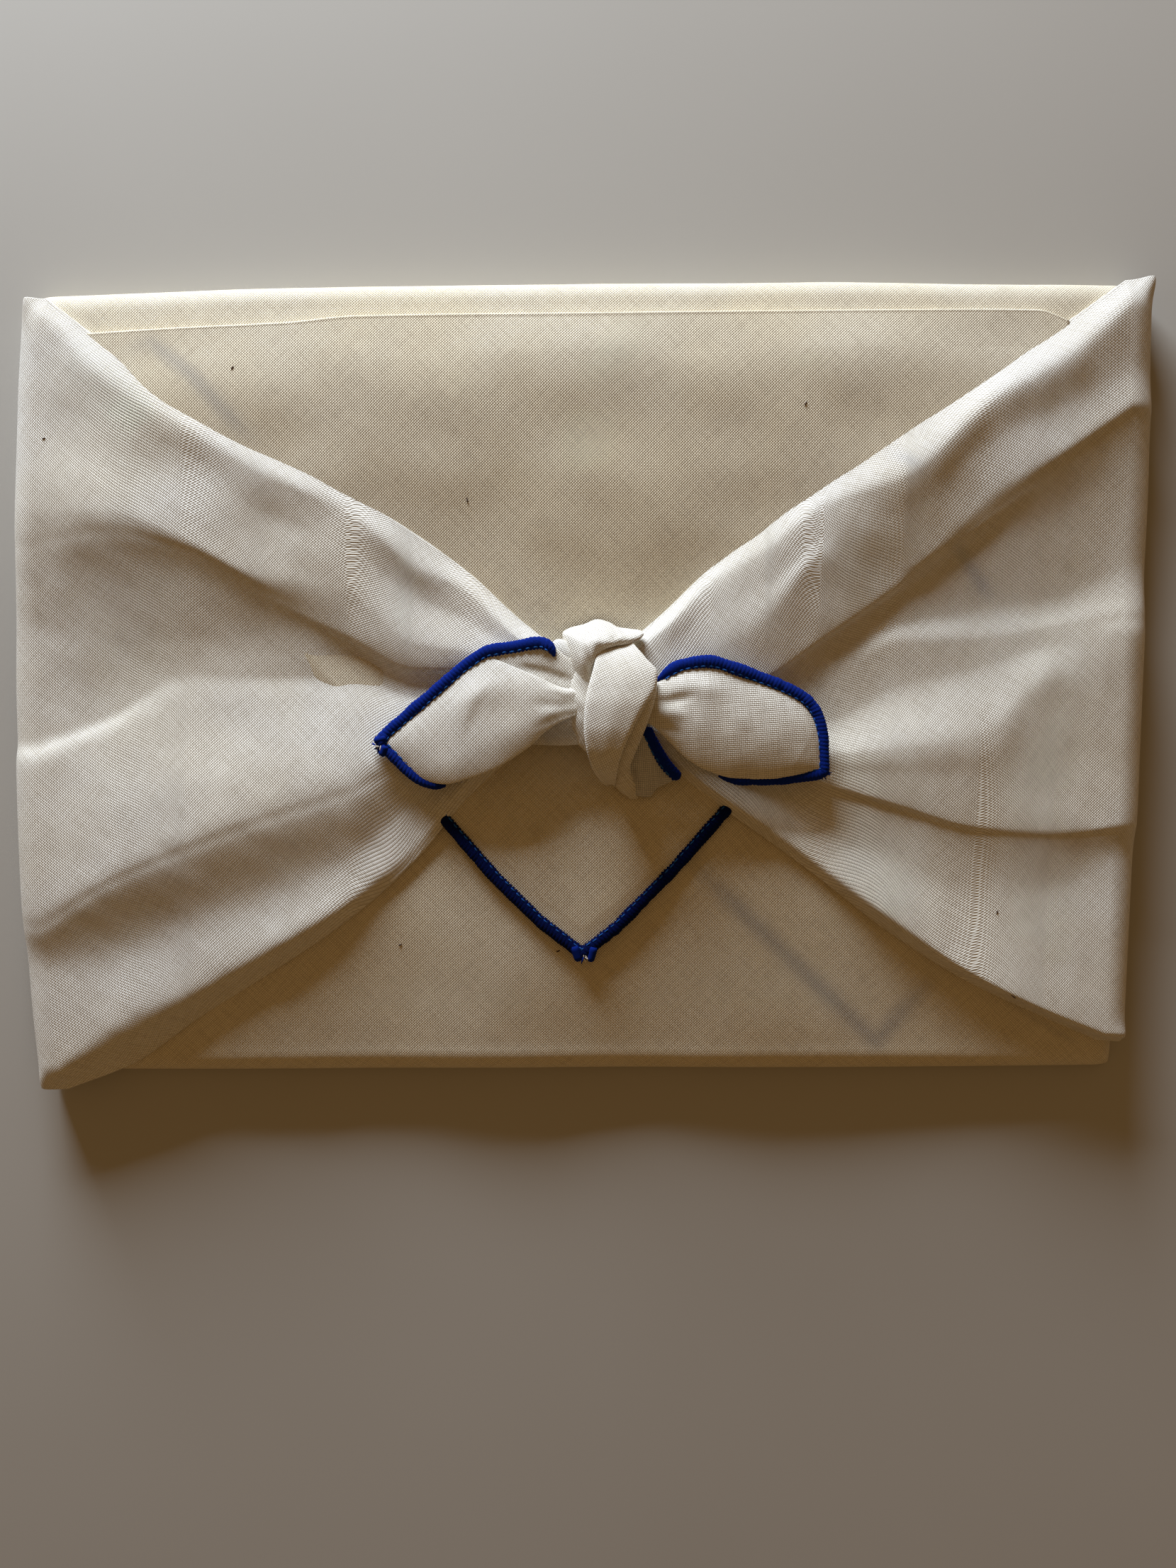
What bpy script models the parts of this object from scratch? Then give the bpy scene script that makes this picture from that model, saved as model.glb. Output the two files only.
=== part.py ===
"""Furoshiki wrap: one square cotton cloth folded round a flat bundle and tied in a knot on its face.

The bundle lies flat on z = 0 with its face up. X runs along its long side and Y along its short side.
Every solid is a loft: closed rings of points that run from one side of the form to the other. The
lofts of the cloth are joined by Boolean unions into one solid, and the blue edging lies clear of it.
Sizes in the tables are in millimetres.
"""

from dataclasses import dataclass
from math import cos, pi, sin

import bmesh
import bpy
import numpy as np
from mathutils import Matrix, Vector

MM = 0.001

# ---- driving dimensions, in millimetres ----
CLOTH_THICK = 1.2  # one lay of the folded cloth, with the air under it
FACE_HEIGHT = 6.4  # face of the bundle just inside its rounded edge
CROWN = 6.6  # how much the middle of the face stands above that
CROWN_HALF_X = 132.0
CROWN_HALF_Y = 95.0
CROWN_FULL_SIDES = 3.0  # how long the crown stays flat before it falls to the sides
CROWN_FULL_TOP = 8.0
CROWN_FULL_BOTTOM = 2.6
WAIST = 3.4  # how far the band across the middle sinks, where the wrap pulls tight
WAIST_HALF = 54.0
WAIST_Y = 4.0
EDGE_ROUND = 5.5  # how far in the rounded edge of the bundle reaches
WING_ROUND = 6.5  # the same where a wing is pulled round the side
WING_UNDER = 0.6  # underside of a wing, just clear of the surface that the bundle rests on
WING_FOOT_ROUND = 2.2  # how much tighter a wing turns under the side than over it
EDGING_RADIUS = 1.1  # overlocked edge, rolled to a cord
CLEARANCE = 0.3  # gap between the edging and the cloth
FOOTPRINT_MIDDLE = (-0.9, -2.8)  # middle of the bundle's footprint in the tables, which becomes the origin

# ---- the bundle: outline of the flat wrapped form ----
# x, y of the top edge and y of the bottom edge
BUNDLE_OUTLINE = (
    (-125.2, 86.8, -91.2),
    (-70.0, 88.1, -91.0),
    (0.0, 89.0, -90.6),
    (60.0, 89.4, -90.6),
    (124.8, 89.4, -90.2),
)

# ---- the top flap: its upper fold, a pleat that lies just inside the top edge ----
# x, y
PLEAT_LINE = (
    (-114.0, 76.4),
    (-91.0, 77.3),
    (-66.0, 78.2),
    (-50.0, 79.6),
    (0.0, 80.2),
    (60.0, 81.0),
    (101.0, 81.6),
    (108.0, 79.4),
)


@dataclass(frozen=True)
class Fold:
    """One line of a wing, from the side of the bundle to the knot."""

    name: str
    y: tuple
    rise: tuple  # above the face of the bundle


# the lower edges of the top flap, which meet in its point
# x, y along the middle of the edging; past the ends the wings lie over it
FLAP_POINT = (
    (-114.0, 52.0),
    (-31.0, -31.8),
    (-20.0, -44.6),
    (-10.0, -54.6),
    (-0.4, -62.2),
    (7.4, -56.0),
    (20.1, -42.8),
    (32.6, -28.6),
    (108.0, 46.0),
)
FLAP_EDGE_INSET = 2.1  # from the middle of the edging up to the plain edge, along y
EDGING_FLAP_SPAN = (-28.6, 31.2)  # x where the edging comes out from under the wings

# ---- the left wing: x of the stations, then a row for each fold, from the upper edge down ----
LEFT_STATIONS = (-121.0, -105.0, -88.0, -70.0, -52.0, -38.0, -26.0, -14.0, -4.0)
LEFT_SIDE_X = ((-94.0, -127.0), (-72.0, -129.0), (-47.0, -130.2), (-6.0, -130.9), (25.0, -129.8),
               (63.0, -128.3), (86.0, -126.4))
LEFT_WING = (
    Fold("upper edge", (84.6, 73.0, 60.8, 50.2, 41.0, 32.4, 23.8, 12.8, 5.0),
         (1.2, 1.2, 1.2, 1.2, 1.2, 1.3, 1.6, 3.0, 5.0)),
    Fold("upper roll", (79.0, 65.0, 55.0, 44.5, 36.5, 25.0, 19.0, 8.5, 4.0),
         (3.0, 3.6, 3.2, 3.2, 2.9, 3.6, 4.2, 7.0, 8.0)),
    Fold("band trough", (60.0, 52.0, 47.0, 37.0, 30.0, 19.5, 13.5, 6.0, 2.5),
         (3.2, 3.2, 2.8, 3.0, 3.4, 3.0, 4.6, 7.2, 8.4)),
    Fold("band crest", (33.0, 36.0, 31.5, 22.5, 19.0, 8.0, 6.0, 2.5, 0.5),
         (4.8, 5.2, 4.7, 4.2, 4.6, 5.2, 6.4, 8.2, 9.0)),
    Fold("band edge", (28.5, 32.0, 28.5, 19.0, 10.0, 3.0, 2.5, 0.3, -1.5),
         (4.2, 4.5, 4.0, 3.4, 3.7, 4.7, 5.8, 7.8, 8.8)),
    Fold("band foot", (21.0, 26.0, 23.0, 15.0, 7.6, 0.8, 1.2, -1.5, -2.6),
         (2.8, 3.2, 2.7, 2.3, 2.2, 3.2, 4.6, 7.0, 8.4)),
    Fold("valley", (13.0, 5.0, 8.5, 5.5, 4.8, -1.2, -2.0, -4.4, -4.0),
         (2.2, 1.2, 1.3, 1.3, 1.4, 2.4, 3.8, 6.4, 8.0)),
    Fold("valley end", (-13.0, -7.0, 2.0, 1.0, 1.2, -3.4, -4.5, -5.8, -4.6),
         (2.4, 1.3, 1.2, 1.2, 1.4, 2.4, 4.2, 6.8, 8.2)),
    Fold("second roll", (-19.5, -12.5, -5.5, -4.5, -5.0, -6.4, -7.0, -7.0, -5.2),
         (4.2, 2.8, 2.3, 2.3, 2.9, 3.2, 4.8, 7.2, 8.4)),
    Fold("broad crest", (-51.0, -42.0, -34.0, -27.0, -21.0, -15.5, -13.5, -10.0, -6.8),
         (5.4, 5.6, 5.6, 5.3, 5.0, 4.8, 5.8, 7.6, 8.5)),
    Fold("broad edge", (-55.0, -45.5, -38.0, -31.0, -25.0, -19.5, -16.0, -11.0, -7.2),
         (4.6, 4.7, 4.6, 4.4, 4.3, 4.2, 5.0, 7.0, 8.2)),
    Fold("lower valley", (-60.0, -56.0, -50.0, -44.0, -39.0, -28.0, -19.5, -13.0, -7.6),
         (2.8, 1.6, 1.5, 1.5, 1.2, 1.6, 3.6, 5.8, 7.6)),
    Fold("lower crest", (-89.0, -78.5, -69.5, -59.5, -48.5, -36.5, -22.4, -14.0, -8.2),
         (4.0, 4.4, 4.0, 3.7, 2.6, 1.7, 3.8, 5.6, 7.2)),
    Fold("lower edge", (-94.6, -88.4, -77.0, -65.6, -53.0, -40.4, -26.0, -15.2, -9.0),
         (0.8, 0.9, 1.0, 1.0, 1.1, 1.2, 1.6, 3.4, 5.6)),
)

# ---- the right wing, in the same way ----
RIGHT_STATIONS = (120.0, 105.0, 88.0, 70.0, 52.0, 40.0, 28.0, 18.0, 8.0)
RIGHT_SIDE_X = ((-88.0, 125.4), (-47.0, 127.0), (-22.0, 128.0), (10.0, 128.4), (41.0, 129.0),
                (63.0, 128.5), (90.0, 127.6))
RIGHT_WING = (
    Fold("upper edge", (88.8, 78.2, 67.0, 54.4, 42.0, 33.6, 24.4, 14.8, 6.2),
         (1.2, 1.2, 1.2, 1.2, 1.2, 1.3, 1.6, 3.0, 5.0)),
    Fold("upper roll", (82.5, 70.0, 60.0, 44.0, 37.5, 28.0, 21.0, 11.0, 4.0),
         (4.0, 4.8, 4.8, 5.2, 3.4, 4.0, 4.0, 7.0, 8.0)),
    Fold("band trough", (69.0, 60.0, 51.0, 36.0, 31.0, 21.0, 15.0, 6.0, 2.0),
         (2.8, 3.4, 3.6, 4.5, 4.3, 5.0, 5.2, 7.6, 8.6)),
    Fold("band crest", (61.5, 51.5, 41.0, 24.5, 24.0, 13.5, 6.5, 1.0, -1.0),
         (3.6, 4.0, 3.8, 3.4, 5.6, 6.6, 6.6, 8.0, 8.8)),
    Fold("band edge", (58.5, 48.0, 35.5, 21.5, 19.0, 9.5, 2.0, -2.0, -2.6),
         (2.9, 3.2, 3.1, 2.9, 5.0, 6.2, 6.0, 7.6, 8.6)),
    Fold("band foot", (50.0, 37.0, 30.0, 19.0, 10.0, 2.5, -3.0, -5.0, -4.2),
         (1.8, 1.6, 1.5, 1.5, 3.6, 4.8, 4.6, 6.8, 8.2)),
    Fold("valley", (27.0, 19.0, 16.5, 13.0, 3.0, -3.0, -6.0, -7.0, -5.2),
         (1.0, 1.0, 1.0, 1.1, 2.2, 3.2, 4.0, 6.4, 8.0)),
    Fold("second roll", (15.0, 12.0, 9.0, 8.0, -3.0, -6.0, -8.6, -8.6, -6.0),
         (3.4, 2.6, 2.5, 2.1, 1.7, 3.1, 4.8, 6.9, 8.1)),
    Fold("second trough", (9.0, 8.0, 3.0, -1.5, -9.5, -9.0, -11.0, -10.0, -7.0),
         (4.2, 3.1, 2.7, 1.9, 1.3, 3.0, 4.7, 6.7, 7.9)),
    Fold("third crest", (-8.0, 0.0, -12.5, -15.5, -17.0, -14.5, -14.0, -11.8, -8.2),
         (3.8, 4.6, 5.1, 5.0, 3.6, 4.0, 4.9, 6.6, 7.8)),
    Fold("third foot", (-15.0, -8.0, -18.0, -20.5, -20.0, -17.0, -15.5, -12.8, -8.8),
         (3.5, 4.2, 4.4, 4.1, 3.2, 3.6, 4.5, 6.3, 7.6)),
    Fold("overlap edge", (-32.0, -34.0, -33.0, -28.0, -22.8, -19.6, -17.0, -13.6, -9.2),
         (4.2, 3.2, 2.8, 2.7, 2.7, 3.2, 4.2, 6.0, 7.4)),
    Fold("overlap foot", (-34.0, -35.5, -33.8, -27.6, -22.0, -19.0, -16.8, -14.0, -9.6),
         (2.8, 2.2, 1.8, 1.5, 1.4, 2.0, 3.4, 5.6, 7.2)),
    Fold("lower valley", (-37.0, -47.0, -47.0, -40.0, -33.0, -25.0, -18.6, -14.6, -10.4),
         (2.4, 1.2, 1.2, 1.2, 1.2, 1.7, 3.0, 5.2, 7.0)),
    Fold("lower crest", (-80.3, -74.4, -65.9, -54.0, -40.5, -32.0, -23.8, -16.4, -11.2),
         (4.8, 5.0, 4.5, 3.8, 2.7, 2.9, 3.4, 4.9, 6.6)),
    Fold("lower edge", (-82.8, -76.4, -68.4, -57.2, -43.4, -34.6, -26.2, -17.8, -12.0),
         (1.0, 1.0, 1.0, 1.1, 1.1, 1.2, 1.5, 3.2, 5.4)),
)

# ---- the two free ends, each a doubled corner of the cloth that lies over its wing ----
# x, y of the upper edge, y of the lower edge, z of the middle, thickness
LEFT_END = (
    (-43.6, -13.7, -14.6, 16.6, 1.2),
    (-41.6, -11.9, -15.6, 16.9, 1.4),
    (-38.4, -9.2, -18.4, 17.4, 1.8),
    (-35.0, -6.2, -20.8, 17.8, 2.0),
    (-30.0, -2.0, -21.9, 18.3, 2.2),
    (-25.0, 2.2, -21.4, 18.9, 2.4),
    (-20.6, 3.8, -19.4, 19.6, 2.6),
    (-15.0, 2.2, -16.8, 20.4, 3.2),
    (-10.0, 0.6, -13.4, 20.8, 4.0),
    (-5.0, -0.6, -10.0, 20.4, 5.0),
    (2.0, -1.6, -7.8, 19.8, 5.6),
)
# the back layer of the left end, which shows above the fold of its front layer
LEFT_END_BACK = (
    (-26.4, 0.6, -14.0, 17.4, 1.2),
    (-23.0, 3.4, -13.0, 18.0, 1.6),
    (-18.5, 5.6, -11.0, 18.6, 1.8),
    (-13.5, 6.4, -9.0, 19.0, 2.0),
    (-9.0, 6.2, -7.5, 19.2, 2.4),
    (-4.0, 5.0, -6.0, 19.2, 3.0),
    (2.0, 4.0, -5.0, 19.0, 3.4),
)
RIGHT_END = (
    (51.6, -17.4, -18.6, 16.8, 1.2),
    (50.6, -9.6, -19.6, 17.2, 1.6),
    (48.4, -5.9, -19.9, 17.6, 2.0),
    (44.0, -3.3, -20.4, 18.2, 2.2),
    (38.6, -1.2, -20.6, 19.0, 2.4),
    (33.0, 1.0, -20.4, 19.8, 2.6),
    (27.0, 2.7, -19.3, 20.4, 3.2),
    (22.0, 2.5, -17.4, 20.8, 4.2),
    (18.0, -0.2, -14.0, 20.6, 5.2),
    (14.5, -2.6, -9.6, 20.2, 6.2),
    (9.0, -3.0, -8.0, 19.8, 6.4),
)

# ---- the turn of cloth that comes over the front of the knot ----
# y, z of the middle, x of the left edge, x of the right edge, thickness
KNOT_TURN = (
    (12.4, 15.0, 1.5, 9.0, 4.0),
    (11.8, 18.6, 0.0, 10.5, 5.0),
    (8.8, 22.0, 1.4, 11.8, 5.6),
    (4.2, 24.2, 1.8, 14.2, 6.0),
    (-2.0, 25.0, 1.0, 15.2, 6.2),
    (-8.0, 24.2, 0.6, 13.2, 6.0),
    (-14.0, 22.0, 1.0, 11.4, 5.6),
    (-19.4, 18.6, 2.6, 10.4, 5.0),
    (-22.6, 15.0, 5.0, 9.4, 4.0),
)
KNOT_CORE = ((5.0, -4.5, 16.5), (10.5, 14.0, 6.8))  # middle and half sizes of the knot's bulk
KNOT_TOP_LOBE = ((3.8, 9.6, 17.6), (8.6, 3.9, 5.4))
KNOT_FOOT_LOBE = ((12.0, -22.8, 15.0), (5.6, 3.2, 2.4))
# the flat of cloth between the turn and the short stretch of edging at the knot's foot
# x, y of the upper edge, y of the lower edge, z of the middle, thickness
KNOT_FOOT = (
    (8.0, -12.0, -22.4, 17.4, 3.0),
    (11.6, -12.0, -24.6, 17.0, 2.4),
    (14.0, -14.8, -24.6, 16.6, 2.0),
    (17.0, -19.2, -23.2, 16.2, 1.8),
    (18.8, -21.8, -22.8, 16.0, 1.4),
)

# ---- the routes of the edging: x, y, z along its middle ----
EDGING_LEFT_END = (
    (-5.4, 6.6, 19.6), (-9.6, 8.1, 19.0), (-15.2, 7.9, 18.5), (-20.6, 6.4, 18.2), (-24.4, 4.4, 18.0),
    (-30.4, -0.7, 17.5), (-35.6, -5.1, 17.1), (-39.2, -8.2, 16.8), (-44.6, -13.9, 16.5),
    (-42.4, -16.6, 16.6), (-38.9, -20.1, 16.7), (-35.2, -22.5, 16.9), (-30.6, -23.5, 17.2),
)
EDGING_RIGHT_END = (
    (17.6, 1.8, 19.8), (21.4, 4.0, 19.7), (27.0, 4.2, 19.4), (33.4, 2.4, 18.8), (39.0, 0.2, 18.0),
    (44.6, -2.0, 17.4), (49.2, -4.7, 16.9), (51.8, -8.6, 16.6), (52.9, -13.8, 16.5),
    (53.1, -20.2, 16.4), (48.4, -21.4, 16.7), (42.0, -22.0, 17.3), (35.4, -22.0, 18.2),
    (29.6, -21.2, 18.9),
)
EDGING_KNOT = ((13.4, -10.6, 18.6), (15.6, -14.8, 17.6), (18.0, -18.6, 16.9), (21.2, -22.0, 16.3))

# ---- how finely the lofts are drawn ----
BUNDLE_STATIONS = 22
FLAP_STATIONS = 30
FLAP_POINTS = 10
WING_STATIONS = 25
POINTS_PER_FOLD = 3
END_POINTS = 12
EDGE_STEPS = 5
FACE_POINTS = 11
EDGING_FLAP_POINTS = 14
TURN_POINTS = 14

COTTON = (0.86, 0.82, 0.74)
THREAD_BLUE = (0.03, 0.08, 0.42)


def clear_scene():
    """Empty the scene."""
    for obj in list(bpy.data.objects):
        bpy.data.objects.remove(obj, do_unlink=True)


def new_collection(name):
    """Make a collection in the scene."""
    group = bpy.data.collections.new(name)
    bpy.context.scene.collection.children.link(group)
    return group


def new_material(name, colour, roughness):
    """Make a plain Principled material."""
    material = bpy.data.materials.new(name)
    material.use_nodes = True
    shader = material.node_tree.nodes["Principled BSDF"]
    shader.inputs["Base Color"].default_value = (*colour, 1.0)
    shader.inputs["Roughness"].default_value = roughness
    material.diffuse_color = (*colour, 1.0)
    return material


def through(knots, values, at):
    """Read a smooth curve through the knots, which never swings past them (a monotone cubic)."""
    knots, values, at = np.asarray(knots, float), np.asarray(values, float), np.asarray(at, float)
    if knots[0] > knots[-1]:
        knots, values = knots[::-1], values[::-1]
    gap = np.diff(knots)
    slope = np.diff(values) / gap
    tangent = np.zeros_like(values)
    inner = slope[:-1] * slope[1:] > 0
    harmonic = 2 * slope[:-1] * slope[1:] / np.where(inner, slope[:-1] + slope[1:], 1)
    tangent[1:-1] = np.where(inner, harmonic, 0)
    tangent[0], tangent[-1] = slope[0], slope[-1]
    cell = np.clip(np.searchsorted(knots, at) - 1, 0, len(gap) - 1)
    part = np.clip((at - knots[cell]) / gap[cell], 0, 1)
    square, cube = part**2, part**3
    return (
        (2 * cube - 3 * square + 1) * values[cell]
        + (cube - 2 * square + part) * gap[cell] * tangent[cell]
        + (3 * square - 2 * cube) * values[cell + 1]
        + (cube - square) * gap[cell] * tangent[cell + 1]
    )


def face_height(x, y):
    """Height of the bundle's crowned face, drawn in along the waist."""
    out_x = np.clip(np.abs(x) / CROWN_HALF_X, 0, 1)
    out_y = np.clip(np.abs(y) / CROWN_HALF_Y, 0, 1)
    full_y = np.where(np.asarray(y) > 0, CROWN_FULL_TOP, CROWN_FULL_BOTTOM)
    crown = CROWN * (1 - out_x**CROWN_FULL_SIDES) * (1 - out_y**full_y)
    waist = WAIST * np.cos(np.clip((np.asarray(y) - WAIST_Y) / WAIST_HALF, -1, 1) * pi / 2) ** 2
    return FACE_HEIGHT + crown - waist * (1 - out_x**4)


def loft(name, rings, group, material):
    """Bridge closed rings of points, in millimetres, into a closed solid with flat ends."""
    bm = bmesh.new()
    loops = [[bm.verts.new(Vector(point) * MM) for point in ring] for ring in rings]
    for near, far in zip(loops, loops[1:]):
        for i in range(len(near)):
            j = (i + 1) % len(near)
            bm.faces.new((near[i], near[j], far[j], far[i]))
    bm.faces.new(loops[0][::-1])
    bm.faces.new(loops[-1])
    return finish_mesh(name, bm, group, material)


def finish_mesh(name, bm, group, material):
    """Turn the faces outward, make the object and put it in its collection."""
    bmesh.ops.recalc_face_normals(bm, faces=bm.faces)
    mesh = bpy.data.meshes.new(name)
    bm.to_mesh(mesh)
    bm.free()
    mesh.materials.append(material)
    mesh.shade_smooth()
    obj = bpy.data.objects.new(name, mesh)
    group.objects.link(obj)
    return obj


def half_round(steps):
    """Give sine and cosine pairs from the foot of a rounded edge up to its top."""
    angles = [pi * (i / steps - 0.5) for i in range(steps + 1)]
    return [(sin(angle), cos(angle)) for angle in angles]


def bundle_rings():
    """Work out the rings of the filled bundle: a flat foot, rounded edges and a crowned face."""
    xs, tops, bottoms = zip(*BUNDLE_OUTLINE)
    turn = [(EDGE_ROUND * (1 - cos(pi * k / 12)), sin(pi * k / 12)) for k in range(1, 7)]
    left, right = xs[0], xs[-1]
    stations = [(left + inset, full) for inset, full in turn]
    middle = np.linspace(left + EDGE_ROUND, right - EDGE_ROUND, BUNDLE_STATIONS)[1:-1]
    stations += [(x, 1.0) for x in middle]
    stations += [(right - inset, full) for inset, full in reversed(turn)]
    rings = []
    for x, full in stations:
        top, bottom = through(xs, tops, x), through(xs, bottoms, x)
        arcs = []
        for outer, inward in ((top, -1), (bottom, 1)):
            start = outer + inward * EDGE_ROUND
            half = full * face_height(x, start) / 2
            arc = [(x, start - inward * EDGE_ROUND * c, half * (1 + s)) for s, c in half_round(EDGE_STEPS)]
            arcs.append(arc)
        across = np.linspace(top - EDGE_ROUND, bottom + EDGE_ROUND, FACE_POINTS + 2)[1:-1]
        face = [(x, y, full * face_height(x, y)) for y in across]
        rings.append(arcs[0] + face + arcs[1][::-1])
    return rings


def flap_rings():
    """Work out the rings of the top flap, from its pleat down to the plain edges of its point."""
    pleat_x, pleat_y = zip(*PLEAT_LINE)
    point_x, point_y = zip(*FLAP_POINT)
    stations = np.linspace(pleat_x[0], pleat_x[-1], FLAP_STATIONS)
    stations = np.union1d(stations, point_x[1:-1])
    rings = []
    for x in stations:
        top = through(pleat_x, pleat_y, x)
        bottom = np.interp(x, point_x, point_y) + FLAP_EDGE_INSET
        ring = [(x, top, face_height(x, top) - 2 * CLOTH_THICK)]
        for y in np.linspace(top, bottom, FLAP_POINTS):
            ring.append((x, y, face_height(x, y) + CLOTH_THICK))
        ring.append((x, bottom, face_height(x, bottom) - 2 * CLOTH_THICK))
        rings.append(ring)
    return rings


def wing_stations(stations):
    """List the rings of a wing: x among the folds' stations, how far the side has turned, and its reach.

    The first rings share the outermost station and turn round the side of the bundle; the others
    march to the knot.
    """
    turns = [pi * k / 12 for k in (1, 2, 3, 4, 5)]
    rounded = [(stations[0], sin(turn), WING_ROUND * (1 - cos(turn)), 1.0) for turn in turns]
    span = stations[-1] - stations[0]
    inner = np.linspace(stations[0], stations[-1], WING_STATIONS)
    return rounded + [(x, 1.0, WING_ROUND, (1 - (x - stations[0]) / span) ** 2) for x in inner]


def wing_rings(stations, folds, side):
    """Work out the rings of a wing, from the side that it is pulled round to the knot.

    A ring crosses all the folds at one station, from the upper edge to the lower, and closes below
    them inside the bundle. Near the side, its top and its foot turn to meet halfway up.
    """
    side_y, side_x = zip(*side)
    inward = -np.sign(stations[0])
    lines = np.linspace(0, len(folds) - 1, (len(folds) - 1) * POINTS_PER_FOLD + 1)
    rings = []
    for x, turned, reach, pull in wing_stations(stations):
        ys = through(range(len(folds)), [through(stations, fold.y, x) for fold in folds], lines)
        rises = through(range(len(folds)), [through(stations, fold.rise, x) for fold in folds], lines)
        rims = through(side_y, side_x, ys) + inward * reach
        xs = x + (rims - stations[0]) * pull
        tops = face_height(xs, ys) + rises
        halves = tops / 2
        foot = halves[-1] - (halves[-1] - WING_UNDER) * min(1.0, WING_FOOT_ROUND * turned)
        ring = list(zip(xs, ys, halves + (tops - halves) * turned))
        ring += [(xs[-1], ys[-1], foot), (xs[0], ys[0], foot)]
        rings.append(ring)
    return rings


def end_rings(table, arch):
    """Work out the rings of a free end: thin leaves of cloth, arched from edge to edge."""
    rings = []
    widest = max(upper - lower for _, upper, lower, _, _ in table)
    for x, upper, lower, middle, thick in table:
        over, under = [], []
        drop = arch * (upper - lower) / widest
        for i in range(END_POINTS + 1):
            part = i / END_POINTS
            y = upper + (lower - upper) * part
            bow = -drop * (2 * part - 1) ** 2
            round_off = max(0.25, (1 - (2 * part - 1) ** 6))
            over.append((x, y, middle + bow + thick / 2 * round_off))
            under.append((x, y, middle + bow - thick / 2 * round_off))
        rings.append(over + under[::-1])
    return rings


def turn_rings():
    """Work out the rings of the turn over the knot: flattened ovals square to its path."""
    path = [Vector((0, y, z)) for y, z, _, _, _ in KNOT_TURN]
    rings = []
    for i, (y, z, left, right, thick) in enumerate(KNOT_TURN):
        ahead = (path[min(i + 1, len(path) - 1)] - path[max(i - 1, 0)]).normalized()
        out = Vector((1, 0, 0)).cross(ahead)
        middle = Vector(((left + right) / 2, y, z))
        ring = []
        for k in range(TURN_POINTS):
            angle = 2 * pi * k / TURN_POINTS
            across = Vector(((right - left) / 2 * cos(angle), 0, 0))
            ring.append(middle + across + out * (thick / 2 * sin(angle)))
        rings.append(ring)
    return rings


def lobe(name, place, half_sizes, group, material):
    """Make a rounded lobe of the knot from a sphere."""
    bm = bmesh.new()
    bmesh.ops.create_uvsphere(bm, u_segments=20, v_segments=12, radius=1.0)
    bmesh.ops.scale(bm, vec=Vector(half_sizes) * MM, verts=bm.verts)
    bmesh.ops.translate(bm, vec=Vector(place) * MM, verts=bm.verts)
    return finish_mesh(name, bm, group, material)


def cord_mesh(name, route, radius, group, material):
    """Make a closed round cord along a route, in millimetres, as a mesh."""
    curve = bpy.data.curves.new(name, "CURVE")
    curve.dimensions = "3D"
    curve.bevel_depth = radius * MM
    curve.bevel_resolution = 2
    curve.use_fill_caps = True
    spline = curve.splines.new("POLY")
    spline.points.add(len(route) - 1)
    for point, place in zip(spline.points, route):
        point.co = (*(Vector(place) * MM), 1.0)
    guide = bpy.data.objects.new(name + "_guide", curve)
    group.objects.link(guide)
    graph = bpy.context.evaluated_depsgraph_get()
    graph.update()
    mesh = bpy.data.meshes.new_from_object(guide.evaluated_get(graph))
    bpy.data.objects.remove(guide, do_unlink=True)
    bm = bmesh.new()
    bm.from_mesh(mesh)
    bpy.data.meshes.remove(mesh)
    bmesh.ops.remove_doubles(bm, verts=bm.verts, dist=0.00001)
    return finish_mesh(name, bm, group, material)


def smooth_route(points, steps):
    """Read a smooth curve through the points of a route, with the given steps between each two."""
    points = np.array(points, float)
    knots = np.arange(len(points))
    at = np.linspace(0, len(points) - 1, (len(points) - 1) * steps + 1)
    return np.stack([through(knots, points[:, k], at) for k in range(3)], axis=1)


def flap_route():
    """Lay the edging of the top flap's point on the face, with a point every few millimetres."""
    xs, ys = zip(*FLAP_POINT)
    start, stop = EDGING_FLAP_SPAN
    route_x = np.union1d(np.linspace(start, stop, EDGING_FLAP_POINTS), [x for x in xs if start < x < stop])
    route_y = np.interp(route_x, xs, ys)
    return [(x, y, face_height(x, y) + EDGING_RADIUS + CLEARANCE) for x, y in zip(route_x, route_y)]


def joined(base, others):
    """Join the other solids to the base by Boolean unions and hide them as helpers."""
    for other in others:
        union = base.modifiers.new("join_" + other.name, "BOOLEAN")
        union.operation = "UNION"
        union.solver = "EXACT"
        union.object = other


def cleared(base, others):
    """Cut the clearance round the edging out of the cloth."""
    for other in others:
        cut = base.modifiers.new("clear_" + other.name, "BOOLEAN")
        cut.operation = "DIFFERENCE"
        cut.solver = "EXACT"
        cut.object = other


def hide(helpers):
    """Keep helpers out of the render."""
    for helper in helpers:
        helper.hide_render = True
        helper.display_type = "WIRE"


def settle():
    """Move every mesh so that the middle of the footprint is the origin."""
    x, y = FOOTPRINT_MIDDLE
    shift = Matrix.Translation(Vector((-x, -y, 0.0)) * MM)
    for obj in bpy.data.objects:
        obj.data.transform(shift)


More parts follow.
